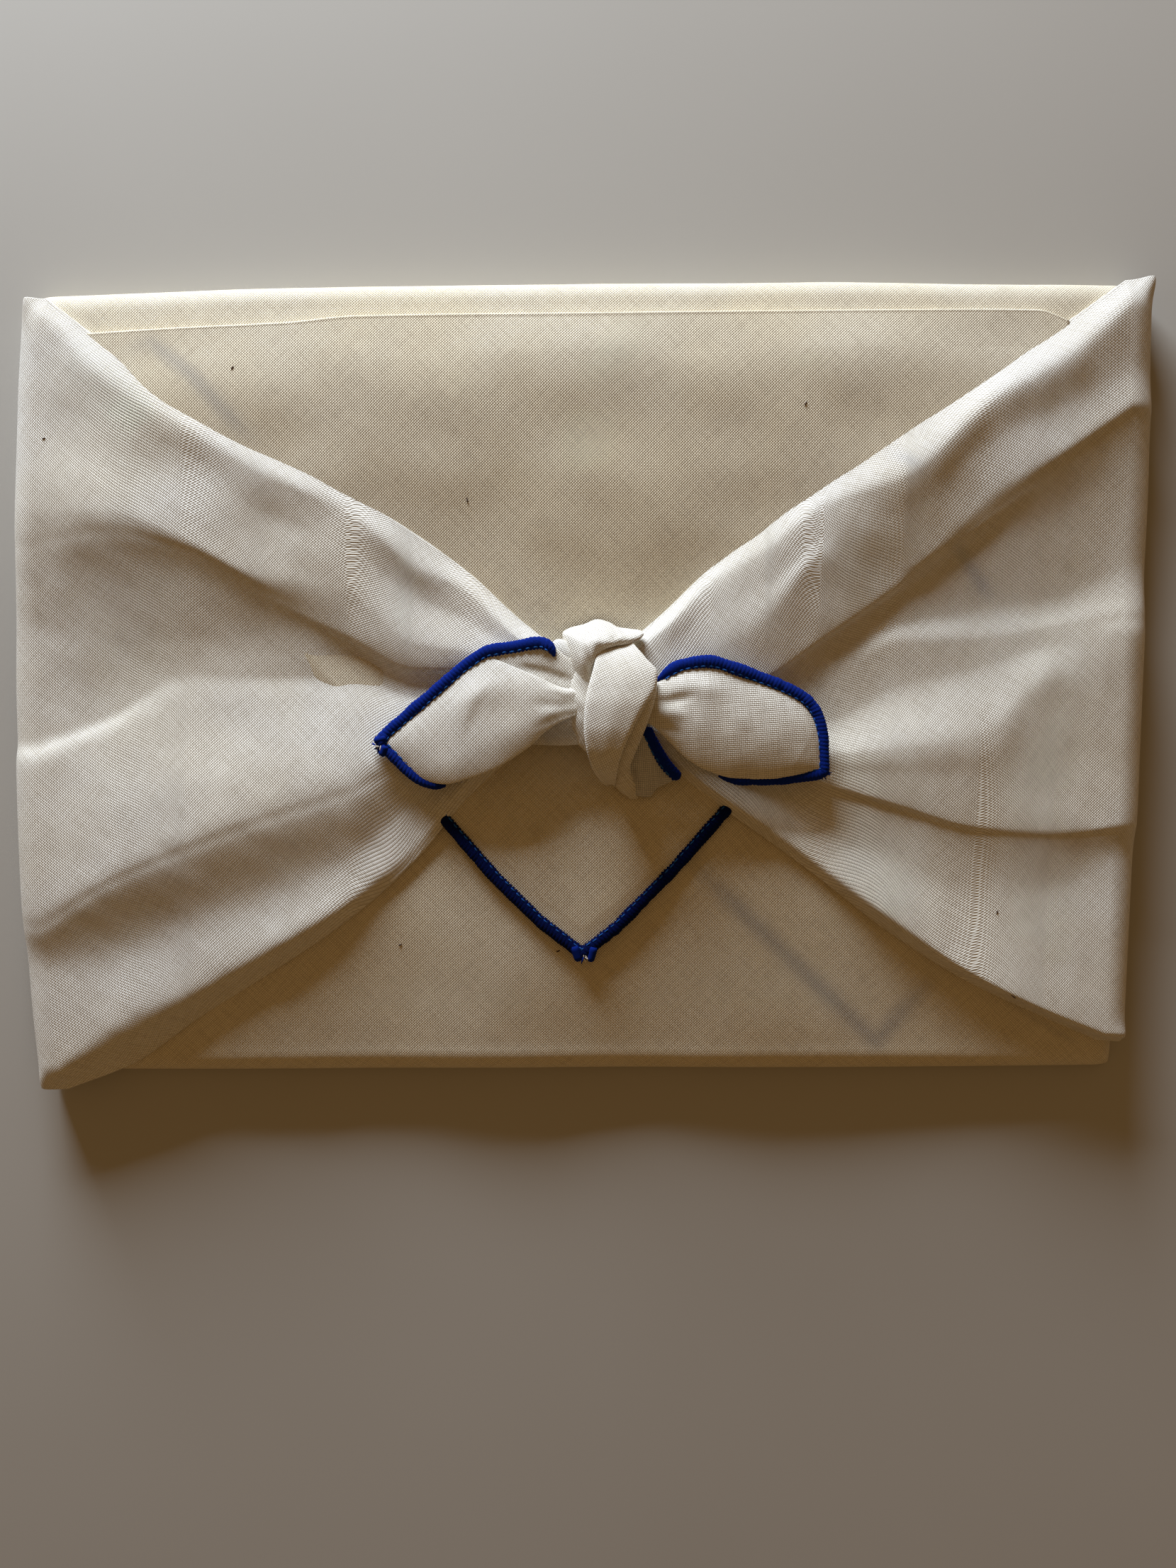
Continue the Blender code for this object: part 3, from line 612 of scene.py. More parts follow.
@dataclass(frozen=True)
class Bundle:
    """The filled bundle inside the cloth: flat foot, rounded edges and a crowned face.

    Attributes:
        outline: x, y of the top edge and y of the bottom edge.
        creases: troughs and ridges on the face.
        under_edges: paths of the folded edges that show through from below.
    """

    outline: Route = (
        (-125.2, 86.8, -91.2), (-70.0, 88.1, -91.0), (0.0, 89.0, -90.6), (60.0, 89.4, -90.6),
        (124.8, 89.4, -90.2),
    )
    creases: tuple[Crease, ...] = (
        Crease(((-112, -86.5), (-40, -86.2), (40, -86), (112, -86)), 0.12, 1.4, 1.4),
    )
    under_edges: tuple[UnderEdge, ...] = (
        UnderEdge(((20.0, -37.0), (24.0, -40.8), (67.8, -83.6), (84.0, -63.2)), 2.2, 0.75, 0.22),
        UnderEdge(((96.7, -73.3), (116.2, -85.0)), 0.7, 0.35),
    )
    rumples: Route = ((3, 46.0, 0.20), (4, 15.0, 0.035))  # seed, length and height of each unevenness
    stations: int = 210
    across: int = 150
    end_steps: int = 12
    edge_steps: int = 14
    foot_points: int = 14

    def lay(self) -> Lay:
        """Work out the rings of the bundle, from its left end to its right."""
        xs, tops, bottoms = (np.array(row) for row in zip(*self.outline))
        left, right = xs[0], xs[-1]
        turn = [pi * k / (2 * self.end_steps) for k in range(1, self.end_steps)]
        places = [(left + EDGE_ROUND * (1 - cos(a)), sin(a)) for a in turn]
        places += [(x, 1.0) for x in np.linspace(left + EDGE_ROUND, right - EDGE_ROUND, self.stations)]
        places += [(right - EDGE_ROUND * (1 - cos(a)), sin(a)) for a in reversed(turn)]
        angles = np.linspace(-pi / 2, pi / 2, self.edge_steps)
        rings = []
        for x, full in places:
            top, bottom = float(through(xs, tops, x)), float(through(xs, bottoms, x))
            high, low = top - EDGE_ROUND, bottom + EDGE_ROUND
            half_high = full * face_height(x, high) / 2
            half_low = full * face_height(x, low) / 2
            y = np.linspace(high, low, self.across + 2)[1:-1]
            upper = np.stack([high + EDGE_ROUND * np.cos(angles), half_high * (1 + np.sin(angles))], 1)
            face = np.stack([y, full * face_height(np.full_like(y, x), y)], 1)
            lower = np.stack([low - EDGE_ROUND * np.cos(angles), half_low * (1 + np.sin(angles))], 1)[::-1]
            back = np.linspace(low, high, self.foot_points + 2)[1:-1]
            foot = np.stack([back, np.zeros(self.foot_points)], 1)
            ring = np.concatenate([upper, face, lower, foot])
            rings.append(np.column_stack([np.full(len(ring), x), ring]))
        points = np.array(rings)
        self.press(points)
        shadow = darkest(points, self.under_edges)
        shadow[points[..., 2] < FACE_HEIGHT / 2] = 0
        return Lay(points, ring_flat(points, self.edge_steps), shadow)

    def press(self, points: np.ndarray) -> None:
        """Give the face and sides their unevenness and creases."""
        x, y, z = points[..., 0], points[..., 1], points[..., 2]
        up = np.clip(z / FACE_HEIGHT, 0, 1) ** 2
        lift = sum(unevenness(x, y, *rumple) for rumple in self.rumples)
        for crease in self.creases:
            lift = lift + crease.lift(x, y)
        points[..., 2] += lift * up


@dataclass(frozen=True)
class TopFlap:
    """The top flap, folded down over the bundle to a right-angled point.

    Attributes:
        pleat: x, y of its upper fold.
        point: x, y along the middle of the edging of its lower edges.
        layer: x, y along the layer below whose edge shows through at the upper left.
    """

    pleat: Route = (
        (-114.0, 76.4), (-91.0, 77.3), (-66.0, 78.2), (-50.0, 79.6), (0.0, 80.2), (60.0, 81.0),
        (101.0, 81.6), (108.0, 79.4),
    )
    point: Route = (
        (-114.0, 52.0), (-31.0, -31.8), (-20.0, -44.6), (-10.0, -54.6), (-0.4, -62.2), (7.4, -56.0),
        (20.1, -42.8), (32.6, -28.6), (108.0, 46.0),
    )
    layer: Route = ((-103.5, 72.6), (-95.9, 74.6), (-87.0, 67.6), (-74.4, 53.8), (-70.6, 51.2))
    under_edges: tuple[UnderEdge, ...] = (UnderEdge(layer, 2.0, 0.58, 0.25),)
    rumples: Route = ((11, 42.0, 0.22), (12, 16.0, 0.05))  # seed, length and height of each unevenness
    settle: float = 8.0  # how far below the pleat the unevenness is full
    edge_rumple: float = 0.2  # the part of it that is left at the lower edges
    rise: float = 1.25
    edge_rise: float = 0.72  # the part of the rise that is left at the lower edges
    edge_fall: float = 5.0  # how far in from them the rise is full
    swell: float = 0.6  # how much fuller the flap lies a little below its pleat
    swell_drop: float = 12.0
    swell_width: float = 8.5
    pleat_swell: float = 1.15  # how much fuller its upper fold is than round
    edge_inset: float = 0.9  # from the middle of the edging to where the cloth ends inside it
    sink: float = 1.5  # how deep its hidden rims end in the bundle
    pleat_hem: float = 1.0  # how far below the upper fold its hidden rim ends
    stations: int = 300
    across: int = 190
    fold_steps: int = 9

    def lay(self) -> Lay:
        """Work out the rings of the flap, from its pleat down to its point."""
        pleat_x, pleat_y = zip(*self.pleat)
        point_x, point_y = zip(*self.point)
        xs = np.union1d(np.linspace(pleat_x[0], pleat_x[-1], self.stations), point_x[1:-1])
        tops = through(pleat_x, pleat_y, xs)
        bottoms = np.interp(xs, point_x, point_y) + self.edge_inset
        angles = np.linspace(-pi / 2, pi / 2, self.fold_steps)[1:-1]
        half = self.rise / 2
        part = np.linspace(0, 1, self.across)
        y = tops[:, None] + (bottoms - tops)[:, None] * part
        x = np.repeat(xs[:, None], self.across, 1)
        drop = tops[:, None] - y
        near_edge = np.clip((y - bottoms[:, None]) / self.edge_fall, 0, 1)
        lift = self.rise * (self.edge_rise + (1 - self.edge_rise) * near_edge)
        lift += self.swell * np.exp(-(((drop - self.swell_drop) / self.swell_width) ** 2))
        uneven = sum(unevenness(x, y, *rumple) for rumple in self.rumples)
        uneven = uneven * np.clip(drop / self.settle, 0, 1) * np.clip(near_edge + self.edge_rumple, 0, 1)
        z = face_height(x, y) + lift + uneven
        face = np.stack([x, y, z], -1)
        fold = np.stack(
            [
                np.repeat(xs[:, None], len(angles), 1),
                tops[:, None] + half * np.cos(angles),
                face_height(xs, tops)[:, None] + half * self.pleat_swell * (1 + np.sin(angles)),
            ],
            -1,
        )
        under = np.stack([xs, tops - self.pleat_hem, face_height(xs, tops) - self.sink], -1)[:, None]
        end = np.stack([xs, bottoms, face_height(xs, bottoms) - self.sink], -1)[:, None]
        points = np.concatenate([under, fold, face, end], 1)
        return Lay(points, ring_flat(points, len(angles) + 1), darkest(points, self.under_edges))


@dataclass(frozen=True)
class Fold:
    """One line of a wing, from the side of the bundle to the knot.

    Attributes:
        name: what a maker would call it.
        y: its place up the face at each station.
        rise: its height above the face of the bundle at each station.
    """

    name: str
    y: tuple[float, ...]
    rise: tuple[float, ...]


@dataclass(frozen=True)
class Peak:
    """A corner of the cloth that is pinched out in a soft point.

    Attributes:
        place: x, y of the corner.
        move: how far its tip is drawn out, as x, y, z.
        spread: how wide the drawn-out place is.
    """

    place: tuple[float, float]
    move: tuple[float, float, float]
    spread: float = 3.4

    def draw(self, points: np.ndarray) -> np.ndarray:
        """Draw the points near the corner out towards its tip."""
        gap = np.hypot(points[..., 0] - self.place[0], points[..., 1] - self.place[1])
        return points + np.exp(-((gap / self.spread) ** 2))[..., None] * np.array(self.move)


@dataclass(frozen=True)
class Wing:
    """One side of the cloth, pulled round the bundle and gathered into the knot.

    Attributes:
        name: the piece's name.
        stations: x from the side of the bundle to the knot.
        side: y, x along the side of the bundle.
        folds: its lines from the top edge to the bottom edge.
        seed: which field of unevenness it has.
        under_edges: where a layer below shows through.
        peaks: its pinched corners.
        round_off: how far in from the side it has turned up on to the face.
        under: height of its closing points at the side.
        foot_round: how fast they drop there.
        hem_roll: radius of the small rolls at its two edges.
        hem_turn: how far round they turn.
        hem_close: how far beyond its edges it closes.
        rumples: length and height of each unevenness.
        settle: how many rings in from the side they are full.
        thread_follow: how much of the folds' turn the threads follow.
    """

    name: str
    stations: tuple[float, ...]
    side: Route
    folds: tuple[Fold, ...]
    seed: int
    under_edges: tuple[UnderEdge, ...] = ()
    peaks: tuple[Peak, ...] = ()
    round_off: float = 6.5
    under: float = 0.6
    foot_round: float = 2.2
    hem_roll: float = 0.45
    hem_turn: float = pi * 0.8
    hem_close: float = 0.3
    rumples: Route = ((26.0, 0.10), (9.0, 0.03))
    settle: int = 20
    thread_follow: float = 0.5
    rings: int = 230
    turn_steps: int = 14
    fold_points: int = 15
    hem_steps: int = 6

    def lay(self) -> Lay:
        """Work out the rings of the wing, from the side to the knot."""
        side_y, side_x = zip(*self.side)
        inward = -np.sign(self.stations[0])
        lines = np.linspace(0, len(self.folds) - 1, (len(self.folds) - 1) * self.fold_points + 1)
        order = np.arange(len(self.folds))
        span = self.stations[-1] - self.stations[0]
        turns = [pi * k / (2 * self.turn_steps) for k in range(1, self.turn_steps)]
        places = [(self.stations[0], sin(a), self.round_off * (1 - cos(a)), 1.0) for a in turns]
        for x in np.linspace(self.stations[0], self.stations[-1], self.rings):
            places.append((x, 1.0, self.round_off, (1 - (x - self.stations[0]) / span) ** 2))
        at = np.array([place[0] for place in places])
        fold_y = np.array([through(self.stations, fold.y, at) for fold in self.folds])
        fold_rise = np.array([through(self.stations, fold.rise, at) for fold in self.folds])
        rings, slopes = [], []
        for k, (x, turned, reach, pull) in enumerate(places):
            ys = through(order, fold_y[:, k], lines)
            rises = through(order, fold_rise[:, k], lines)
            rims = through(side_y, side_x, ys) + inward * reach
            xs = x + (rims - self.stations[0]) * pull
            rises = rises + self.roughness(xs, ys) * min(1.0, k / self.settle)
            tops = face_height(xs, ys) + rises
            halves = tops / 2
            z = halves + (tops - halves) * turned
            foot = halves[-1] - (halves[-1] - self.under) * min(1.0, self.foot_round * turned)
            ring = np.column_stack([xs, ys, z])
            rings.append(self.rolled(ring, foot, turned))
            slopes.append(pull)
        points = np.array(rings)
        for peak in self.peaks:
            points[:, :-CLOSING_POINTS] = peak.draw(points[:, :-CLOSING_POINTS])
        return Lay(points, self.flat(points, np.array(slopes)), darkest(points, self.under_edges))

    def roughness(self, x: np.ndarray, y: np.ndarray) -> np.ndarray:
        """Add up the wing's unevenness."""
        return sum(unevenness(x, y, self.seed + k, *rumple) for k, rumple in enumerate(self.rumples))

    def rolled(self, ring: np.ndarray, foot: float, turned: float) -> np.ndarray:
        """Turn the ring's two ends under in small rolls and close it inside the bundle.

        Args:
            ring: the points over the top of the wing.
            foot: height of the ring's closing points.
            turned: how far the side has turned, 0 to 1.

        Returns:
            The closed ring.
        """
        angles = np.linspace(0, self.hem_turn, self.hem_steps)[1:]
        out = self.hem_roll * turned
        rolls = []
        for end, way in ((ring[0], 1), (ring[-1], -1)):
            across = end[1] + way * out * np.sin(angles)
            down = end[2] - out * (1 - np.cos(angles))
            rolls.append(np.column_stack([np.full(len(angles), end[0]), across, down]))
        last = [ring[-1, 0], ring[-1, 1] + self.hem_close, foot]
        first = [ring[0, 0], ring[0, 1] - self.hem_close, foot]
        return np.concatenate([rolls[0][::-1], ring, rolls[1], [last, first]])

    def flat(self, points: np.ndarray, pull: np.ndarray) -> np.ndarray:
        """Lay the wing out flat from its middle fold, its threads turning part of the way with the folds.

        Args:
            points: rings by points by x, y, z.
            pull: how much of the side's bend each ring still has, 0 to 1.

        Returns:
            Rings by points by two flat places.
        """
        middle = points.shape[1] // 2
        spine = arc_length(points[:, middle], 0)
        way = np.sign(self.stations[-1] - self.stations[0])
        heading = np.gradient(points[..., 1], axis=0) / np.abs(np.gradient(points[..., 0], axis=0))
        heading = np.clip(np.nan_to_num(heading), -1, 1) * way
        turn = self.thread_follow * np.arctan(heading) * (1 - pull[:, None])
        steps = np.diff(points, axis=1)
        length = np.linalg.norm(steps, axis=-1)
        angle = (turn[:, 1:] + turn[:, :-1]) / 2
        across = np.stack([length * np.sin(angle), length * np.cos(angle)], -1) * -1
        total = np.concatenate([np.zeros_like(across[:, :1]), np.cumsum(across, axis=1)], axis=1)
        total -= total[:, middle : middle + 1]
        total[..., 0] += (self.stations[0] + way * spine)[:, None]
        return total


LEFT_WING = Wing(
    "left_wing",
    stations=(-121.0, -105.0, -88.0, -70.0, -52.0, -38.0, -26.0, -14.0, -4.0),
    side=(
        (-94.0, -127.0), (-72.0, -129.0), (-47.0, -130.2), (-6.0, -130.9), (25.0, -129.8), (63.0, -128.3),
        (86.0, -126.4),
    ),
    folds=(
        Fold("upper edge", (84.6, 73.0, 60.8, 50.2, 41.0, 32.4, 23.8, 12.8, 5.0),
             (1.2, 1.2, 1.2, 1.2, 1.2, 1.3, 1.6, 3.0, 5.0)),
        Fold("upper roll", (79.0, 65.0, 55.0, 44.5, 36.5, 25.0, 19.0, 8.5, 4.0),
             (3.0, 3.6, 3.2, 3.2, 2.9, 3.6, 4.2, 7.0, 8.0)),
        Fold("band trough", (60.0, 52.0, 47.0, 37.0, 30.0, 19.5, 13.5, 6.0, 2.5),
             (3.2, 3.2, 2.8, 3.0, 3.4, 3.0, 4.6, 7.2, 8.4)),
        Fold("band crest", (36.0, 37.0, 31.5, 22.5, 19.0, 8.0, 6.0, 2.5, 0.5),
             (4.6, 5.1, 4.7, 4.2, 4.6, 5.2, 6.4, 8.2, 9.0)),
        Fold("band edge", (29.0, 32.0, 28.5, 19.0, 10.0, 3.0, 2.5, 0.3, -1.5),
             (4.2, 4.6, 4.0, 3.4, 3.7, 4.7, 5.8, 7.8, 8.8)),
        Fold("band foot", (20.0, 25.0, 23.0, 15.0, 7.6, 0.8, 1.2, -1.5, -2.6),
             (3.3, 3.4, 2.7, 2.3, 2.2, 3.2, 4.6, 7.0, 8.4)),
        Fold("valley", (8.0, 7.0, 8.5, 5.5, 4.8, -1.2, -2.0, -4.4, -4.0),
             (2.5, 1.5, 1.3, 1.3, 1.4, 2.4, 3.8, 6.4, 8.0)),
        Fold("valley end", (-13.0, -7.0, 2.0, 1.0, 1.2, -3.4, -4.5, -5.8, -4.6),
             (2.4, 1.3, 1.2, 1.2, 1.4, 2.4, 4.2, 6.8, 8.2)),
        Fold("second roll", (-19.5, -12.5, -5.5, -4.5, -5.0, -6.4, -7.0, -7.0, -5.2),
             (4.2, 2.8, 2.3, 2.3, 2.9, 3.2, 4.8, 7.2, 8.4)),
        Fold("broad crest", (-51.0, -42.0, -34.0, -27.0, -21.0, -15.5, -13.5, -10.0, -6.8),
             (5.3, 5.5, 5.5, 5.2, 4.9, 4.8, 5.8, 7.6, 8.5)),
        Fold("broad edge", (-57.0, -47.0, -39.5, -32.5, -26.5, -19.5, -16.0, -11.0, -7.2),
             (4.8, 5.0, 4.9, 4.6, 4.3, 4.2, 5.0, 7.0, 8.2)),
        Fold("lower valley", (-66.0, -61.0, -54.0, -47.0, -40.0, -28.0, -19.5, -13.0, -7.6),
             (3.4, 2.5, 2.3, 2.0, 1.6, 1.6, 3.6, 5.8, 7.6)),
        Fold("lower crest", (-88.0, -78.0, -70.0, -60.0, -48.8, -36.5, -22.4, -14.0, -8.2),
             (4.3, 4.8, 4.2, 3.7, 2.6, 1.7, 3.8, 5.6, 7.2)),
        Fold("lower edge", (-94.6, -88.4, -77.0, -65.6, -53.0, -40.4, -26.0, -15.2, -9.0),
             (0.8, 0.9, 1.0, 1.0, 1.1, 1.2, 1.6, 3.4, 5.6)),
    ),
    peaks=(Peak((-126.4, 84.8), (0.8, 0.4, 3.0)), Peak((-126.6, -94.4), (0.0, 0.1, 2.5))),
    seed=20,
)

RIGHT_WING = Wing(
    "right_wing",
    stations=(120.0, 105.0, 88.0, 70.0, 52.0, 40.0, 28.0, 18.0, 8.0),
    side=(
        (-88.0, 125.4), (-47.0, 127.0), (-22.0, 128.0), (10.0, 128.4), (41.0, 129.0), (63.0, 128.5),
        (90.0, 127.6),
    ),
    folds=(
        Fold("upper edge", (88.8, 78.2, 67.0, 54.4, 42.0, 33.6, 24.4, 14.8, 6.2),
             (1.2, 1.2, 1.2, 1.2, 1.2, 1.3, 1.6, 3.0, 5.0)),
        Fold("upper roll", (82.5, 70.0, 60.0, 44.0, 37.5, 28.0, 21.0, 11.0, 4.0),
             (4.0, 4.8, 4.8, 5.2, 3.4, 4.0, 4.0, 7.0, 8.0)),
        Fold("band trough", (69.0, 60.0, 51.0, 36.0, 31.0, 21.0, 15.0, 6.0, 2.0),
             (2.8, 3.4, 3.6, 4.5, 4.1, 5.0, 5.2, 7.6, 8.6)),
        Fold("band crest", (61.5, 51.5, 41.0, 24.5, 25.0, 13.0, 5.5, 1.0, -1.0),
             (3.6, 4.0, 3.8, 3.4, 4.8, 6.1, 6.4, 8.0, 8.8)),
        Fold("band edge", (58.5, 48.0, 35.5, 21.5, 8.8, 0.6, -3.4, -2.0, -2.6),
             (2.9, 3.2, 3.1, 2.9, 4.2, 5.3, 5.8, 7.6, 8.6)),
        Fold("band foot", (50.0, 37.0, 30.0, 19.0, 7.2, -0.8, -4.8, -5.0, -4.2),
             (1.8, 1.6, 1.5, 1.5, 3.1, 4.2, 5.0, 6.8, 8.2)),
        Fold("valley", (27.0, 19.0, 16.5, 13.0, 2.0, -3.6, -6.4, -7.0, -5.2),
             (1.0, 1.0, 1.0, 1.1, 2.2, 3.3, 4.3, 6.4, 8.0)),
        Fold("second roll", (15.0, 12.0, 9.0, 8.0, -3.0, -6.0, -8.6, -8.6, -6.0),
             (3.4, 2.6, 2.5, 2.1, 1.7, 3.1, 4.8, 6.9, 8.1)),
        Fold("second trough", (9.0, 8.0, 3.0, -1.5, -9.5, -9.0, -11.0, -10.0, -7.0),
             (4.2, 3.1, 2.7, 1.9, 1.4, 3.0, 4.7, 6.7, 7.9)),
        Fold("third crest", (-8.0, 0.0, -12.5, -15.5, -17.0, -14.5, -14.0, -11.8, -8.2),
             (3.8, 4.6, 5.0, 4.8, 3.5, 4.0, 4.9, 6.6, 7.8)),
        Fold("third foot", (-18.0, -14.0, -22.0, -21.5, -20.0, -17.0, -15.5, -12.8, -8.8),
             (3.6, 4.0, 4.2, 4.1, 3.2, 3.6, 4.5, 6.3, 7.6)),
        Fold("overlap edge", (-32.0, -34.0, -33.0, -28.0, -22.8, -19.6, -17.0, -13.6, -9.2),
             (4.0, 3.3, 3.1, 3.1, 2.8, 3.2, 4.2, 6.0, 7.4)),
        Fold("overlap foot", (-35.0, -36.0, -34.4, -28.8, -23.2, -19.0, -16.8, -14.0, -9.6),
             (3.2, 2.7, 2.4, 2.3, 1.9, 2.0, 3.4, 5.6, 7.2)),
        Fold("lower valley", (-40.0, -47.0, -47.0, -40.0, -33.0, -25.0, -18.6, -14.6, -10.4),
             (2.4, 1.4, 1.3, 1.3, 1.2, 1.7, 3.0, 5.2, 7.0)),
        Fold("lower crest", (-80.3, -74.4, -65.9, -54.0, -40.5, -32.0, -23.8, -16.4, -11.2),
             (4.8, 5.0, 4.5, 3.8, 2.7, 2.9, 3.4, 4.9, 6.6)),
        Fold("lower edge", (-82.8, -76.4, -68.4, -57.2, -43.4, -34.6, -26.2, -17.8, -12.0),
             (1.0, 1.0, 1.0, 1.1, 1.1, 1.2, 1.5, 3.2, 5.4)),
    ),
    under_edges=(
        UnderEdge(((82.0, 31.8), (92.6, 17.2)), 1.7, 0.55, 0.25),
        UnderEdge(((66.0, 51.0), (75.6, 45.4)), 1.5, 0.3, 0.4),
    ),
    peaks=(Peak((127.6, 88.8), (0.4, 1.0, 3.2)), Peak((125.6, -82.8), (-0.2, -0.5, 2.0))),
    seed=30,
)


# ---------------------------------------------------------------- the knot


@dataclass(frozen=True)
class Leaf:
    """A free end of the cloth: a doubled corner, arched between two long edges.

    Attributes:
        name: the piece's name.
        upper: x, y, z along its upper edge, from the knot to the tip.
        lower: the same along its lower edge.
        arch: how far the middle stands above the edges.
        thick: thickness at the middle.
        edge_thick: thickness at the edges.
        weave: the angle of its threads.
        creases: troughs and ridges on it.
        under_edges: where a layer below shows through.
        sheer: how much shows through it everywhere, 0 to 1.
        fullness: how long the arch stays up before it falls to the edges.
        edge_fullness: the same for the thickness.
        thinnest: the part of the thickness that is left at the very edge.
        tip_thick: the part that is left at the tip.
        tip_fall: how late it thins towards the tip.
        crease_rise: how soon a crease is full, in from the edges.
        seed, wave, uneven: seed, length and height of its unevenness.
    """

    name: str
    upper: Route
    lower: Route
    arch: float
    thick: float
    edge_thick: float
    weave: float
    seed: int
    creases: tuple[Crease, ...] = ()
    under_edges: tuple[UnderEdge, ...] = ()
    sheer: float = 0.0
    fullness: float = 2.2
    edge_fullness: int = 5
    thinnest: float = 0.15
    tip_thick: float = 0.35
    tip_fall: float = 1.6
    crease_rise: float = 3.0
    wave: float = 10.0
    uneven: float = 0.045
    rings: int = 150
    across: int = 90

    def lay(self) -> Lay:
        """Work out the rings of the leaf, from the knot to its tip."""
        upper, lower = along(self.upper, self.rings), along(self.lower, self.rings)
        part = np.linspace(0, 1, self.across)
        middle = upper[:, None] + (lower - upper)[:, None] * part[None, :, None]
        width = np.linalg.norm(lower - upper, axis=1)
        full = (width / width.max())[:, None]
        bow = 1 - np.abs(2 * part - 1) ** self.fullness
        x, y = middle[..., 0], middle[..., 1]
        lift = self.arch * full * bow + unevenness(x, y, self.seed, self.wave, self.uneven) * bow
        for crease in self.creases:
            lift = lift + crease.lift(x, y) * np.clip(bow * self.crease_rise, 0, 1)
        rounded = np.sqrt(np.clip(1 - np.abs(2 * part - 1) ** self.edge_fullness, 0, 1))
        thick = self.edge_thick + (self.thick - self.edge_thick) * np.clip(bow, 0, 1)
        thick = thick * np.maximum(rounded, self.thinnest)
        thick = thick * (self.tip_thick + (1 - self.tip_thick) * np.clip(full * self.tip_fall, 0, 1))
        over, under = middle.copy(), middle.copy()
        over[..., 2] += lift + thick / 2
        under[..., 2] += lift - thick / 2
        points = np.concatenate([over, under[:, ::-1]], 1)
        return Lay(points, points[..., :2].copy(), np.maximum(darkest(points, self.under_edges), self.sheer))


@dataclass(frozen=True)
class Turn:
    """A flattened roll of cloth that passes over the knot.

    Attributes:
        name: the piece's name.
        path: x of the left edge, x of the right edge, y, z of the middle and thickness.
        creases: troughs and ridges along it.
        weave: the angle of its threads.
        droop: how far its two edges hang below its middle.
        relief_foot: how far below its middle the relief reaches, as a part of its half thickness.
        seed, wave, uneven: seed, length and height of its unevenness.
    """

    name: str
    path: Route
    seed: int
    creases: tuple[Crease, ...] = ()
    weave: float = Weave.STEEP.value
    droop: float = 0.0
    relief_foot: float = 0.35
    wave: float = 7.0
    uneven: float = 0.10
    rings: int = 150
    round_points: int = 96

    def lay(self) -> Lay:
        """Work out the rings of the turn, from its top to its foot."""
        path = along(self.path, self.rings)
        middle = np.column_stack([(path[:, 0] + path[:, 1]) / 2, path[:, 2], path[:, 3]])
        ahead = np.gradient(middle, axis=0)
        ahead[:, 0] = 0
        ahead /= np.linalg.norm(ahead, axis=1)[:, None]
        out = np.cross(np.array([1.0, 0, 0]), ahead)
        angle = np.linspace(0, 2 * pi, self.round_points, endpoint=False)
        half = (path[:, 1] - path[:, 0]) / 2
        side, height = np.cos(angle), np.sin(angle)
        points = np.repeat(middle[:, None], self.round_points, 1)
        points[..., 0] += half[:, None] * side
        points += out[:, None] * (path[:, 4][:, None] / 2 * height)[..., None]
        points -= out[:, None] * (self.droop * np.abs(side) ** 3)[:, None]
        x, y = points[..., 0], points[..., 1]
        lift = unevenness(x, y, self.seed, self.wave, self.uneven)
        for crease in self.creases:
            lift = lift + crease.lift(x, y)
        top = np.clip(height + self.relief_foot, 0, 1)
        points += out[:, None] * (lift * top)[..., None]
        length = arc_length(middle[:, None], 0)
        flat = np.stack([points[..., 0], -np.repeat(length, self.round_points, 1)], -1)
        return Lay(points, flat)


@dataclass(frozen=True)
class Bulge:
    """A rounded lump of gathered cloth in the knot.

    Attributes:
        name: the piece's name.
        place: its middle.
        half: half its length, width and height.
        weave: the angle of its threads.
        heading: degrees that its length is turned from X.
        sheer: how much shows through it everywhere, 0 to 1.
        seed, wave, uneven: seed, length and height of its unevenness.
        cap: angle of the small flats that close its two ends.
        side_share: how much of its height counts when it is laid flat.
    """

    name: str
    place: Place
    half: Place
    seed: int
    weave: float = Weave.STEEP.value
    heading: float = 0.0
    sheer: float = 0.0
    wave: float = 6.0
    uneven: float = 0.1
    cap: float = 0.02
    side_share: float = 0.6
    rings: int = 90
    round_points: int = 120

    def lay(self) -> Lay:
        """Work out the rings of the bulge, from left to right."""
        polar = np.linspace(self.cap, pi - self.cap, self.rings)[:, None]
        angle = np.linspace(0, 2 * pi, self.round_points, endpoint=False)
        lengthwise = np.repeat(-np.cos(polar), self.round_points, 1)
        unit = np.stack([lengthwise, np.sin(polar) * np.cos(angle), np.sin(polar) * np.sin(angle)], -1)
        turn = radians(self.heading)
        spin = np.array([[cos(turn), sin(turn), 0], [-sin(turn), cos(turn), 0], [0, 0, 1]])
        points = np.array(self.place) + (unit * np.array(self.half)) @ spin
        unit = unit @ spin
        x, y = points[..., 0], points[..., 1]
        points += unit * unevenness(x, y + points[..., 2], self.seed, self.wave, self.uneven)[..., None]
        flat = np.stack([x, y - points[..., 2] * self.side_share], -1)
        return Lay(points, flat, np.full(x.shape, self.sheer))


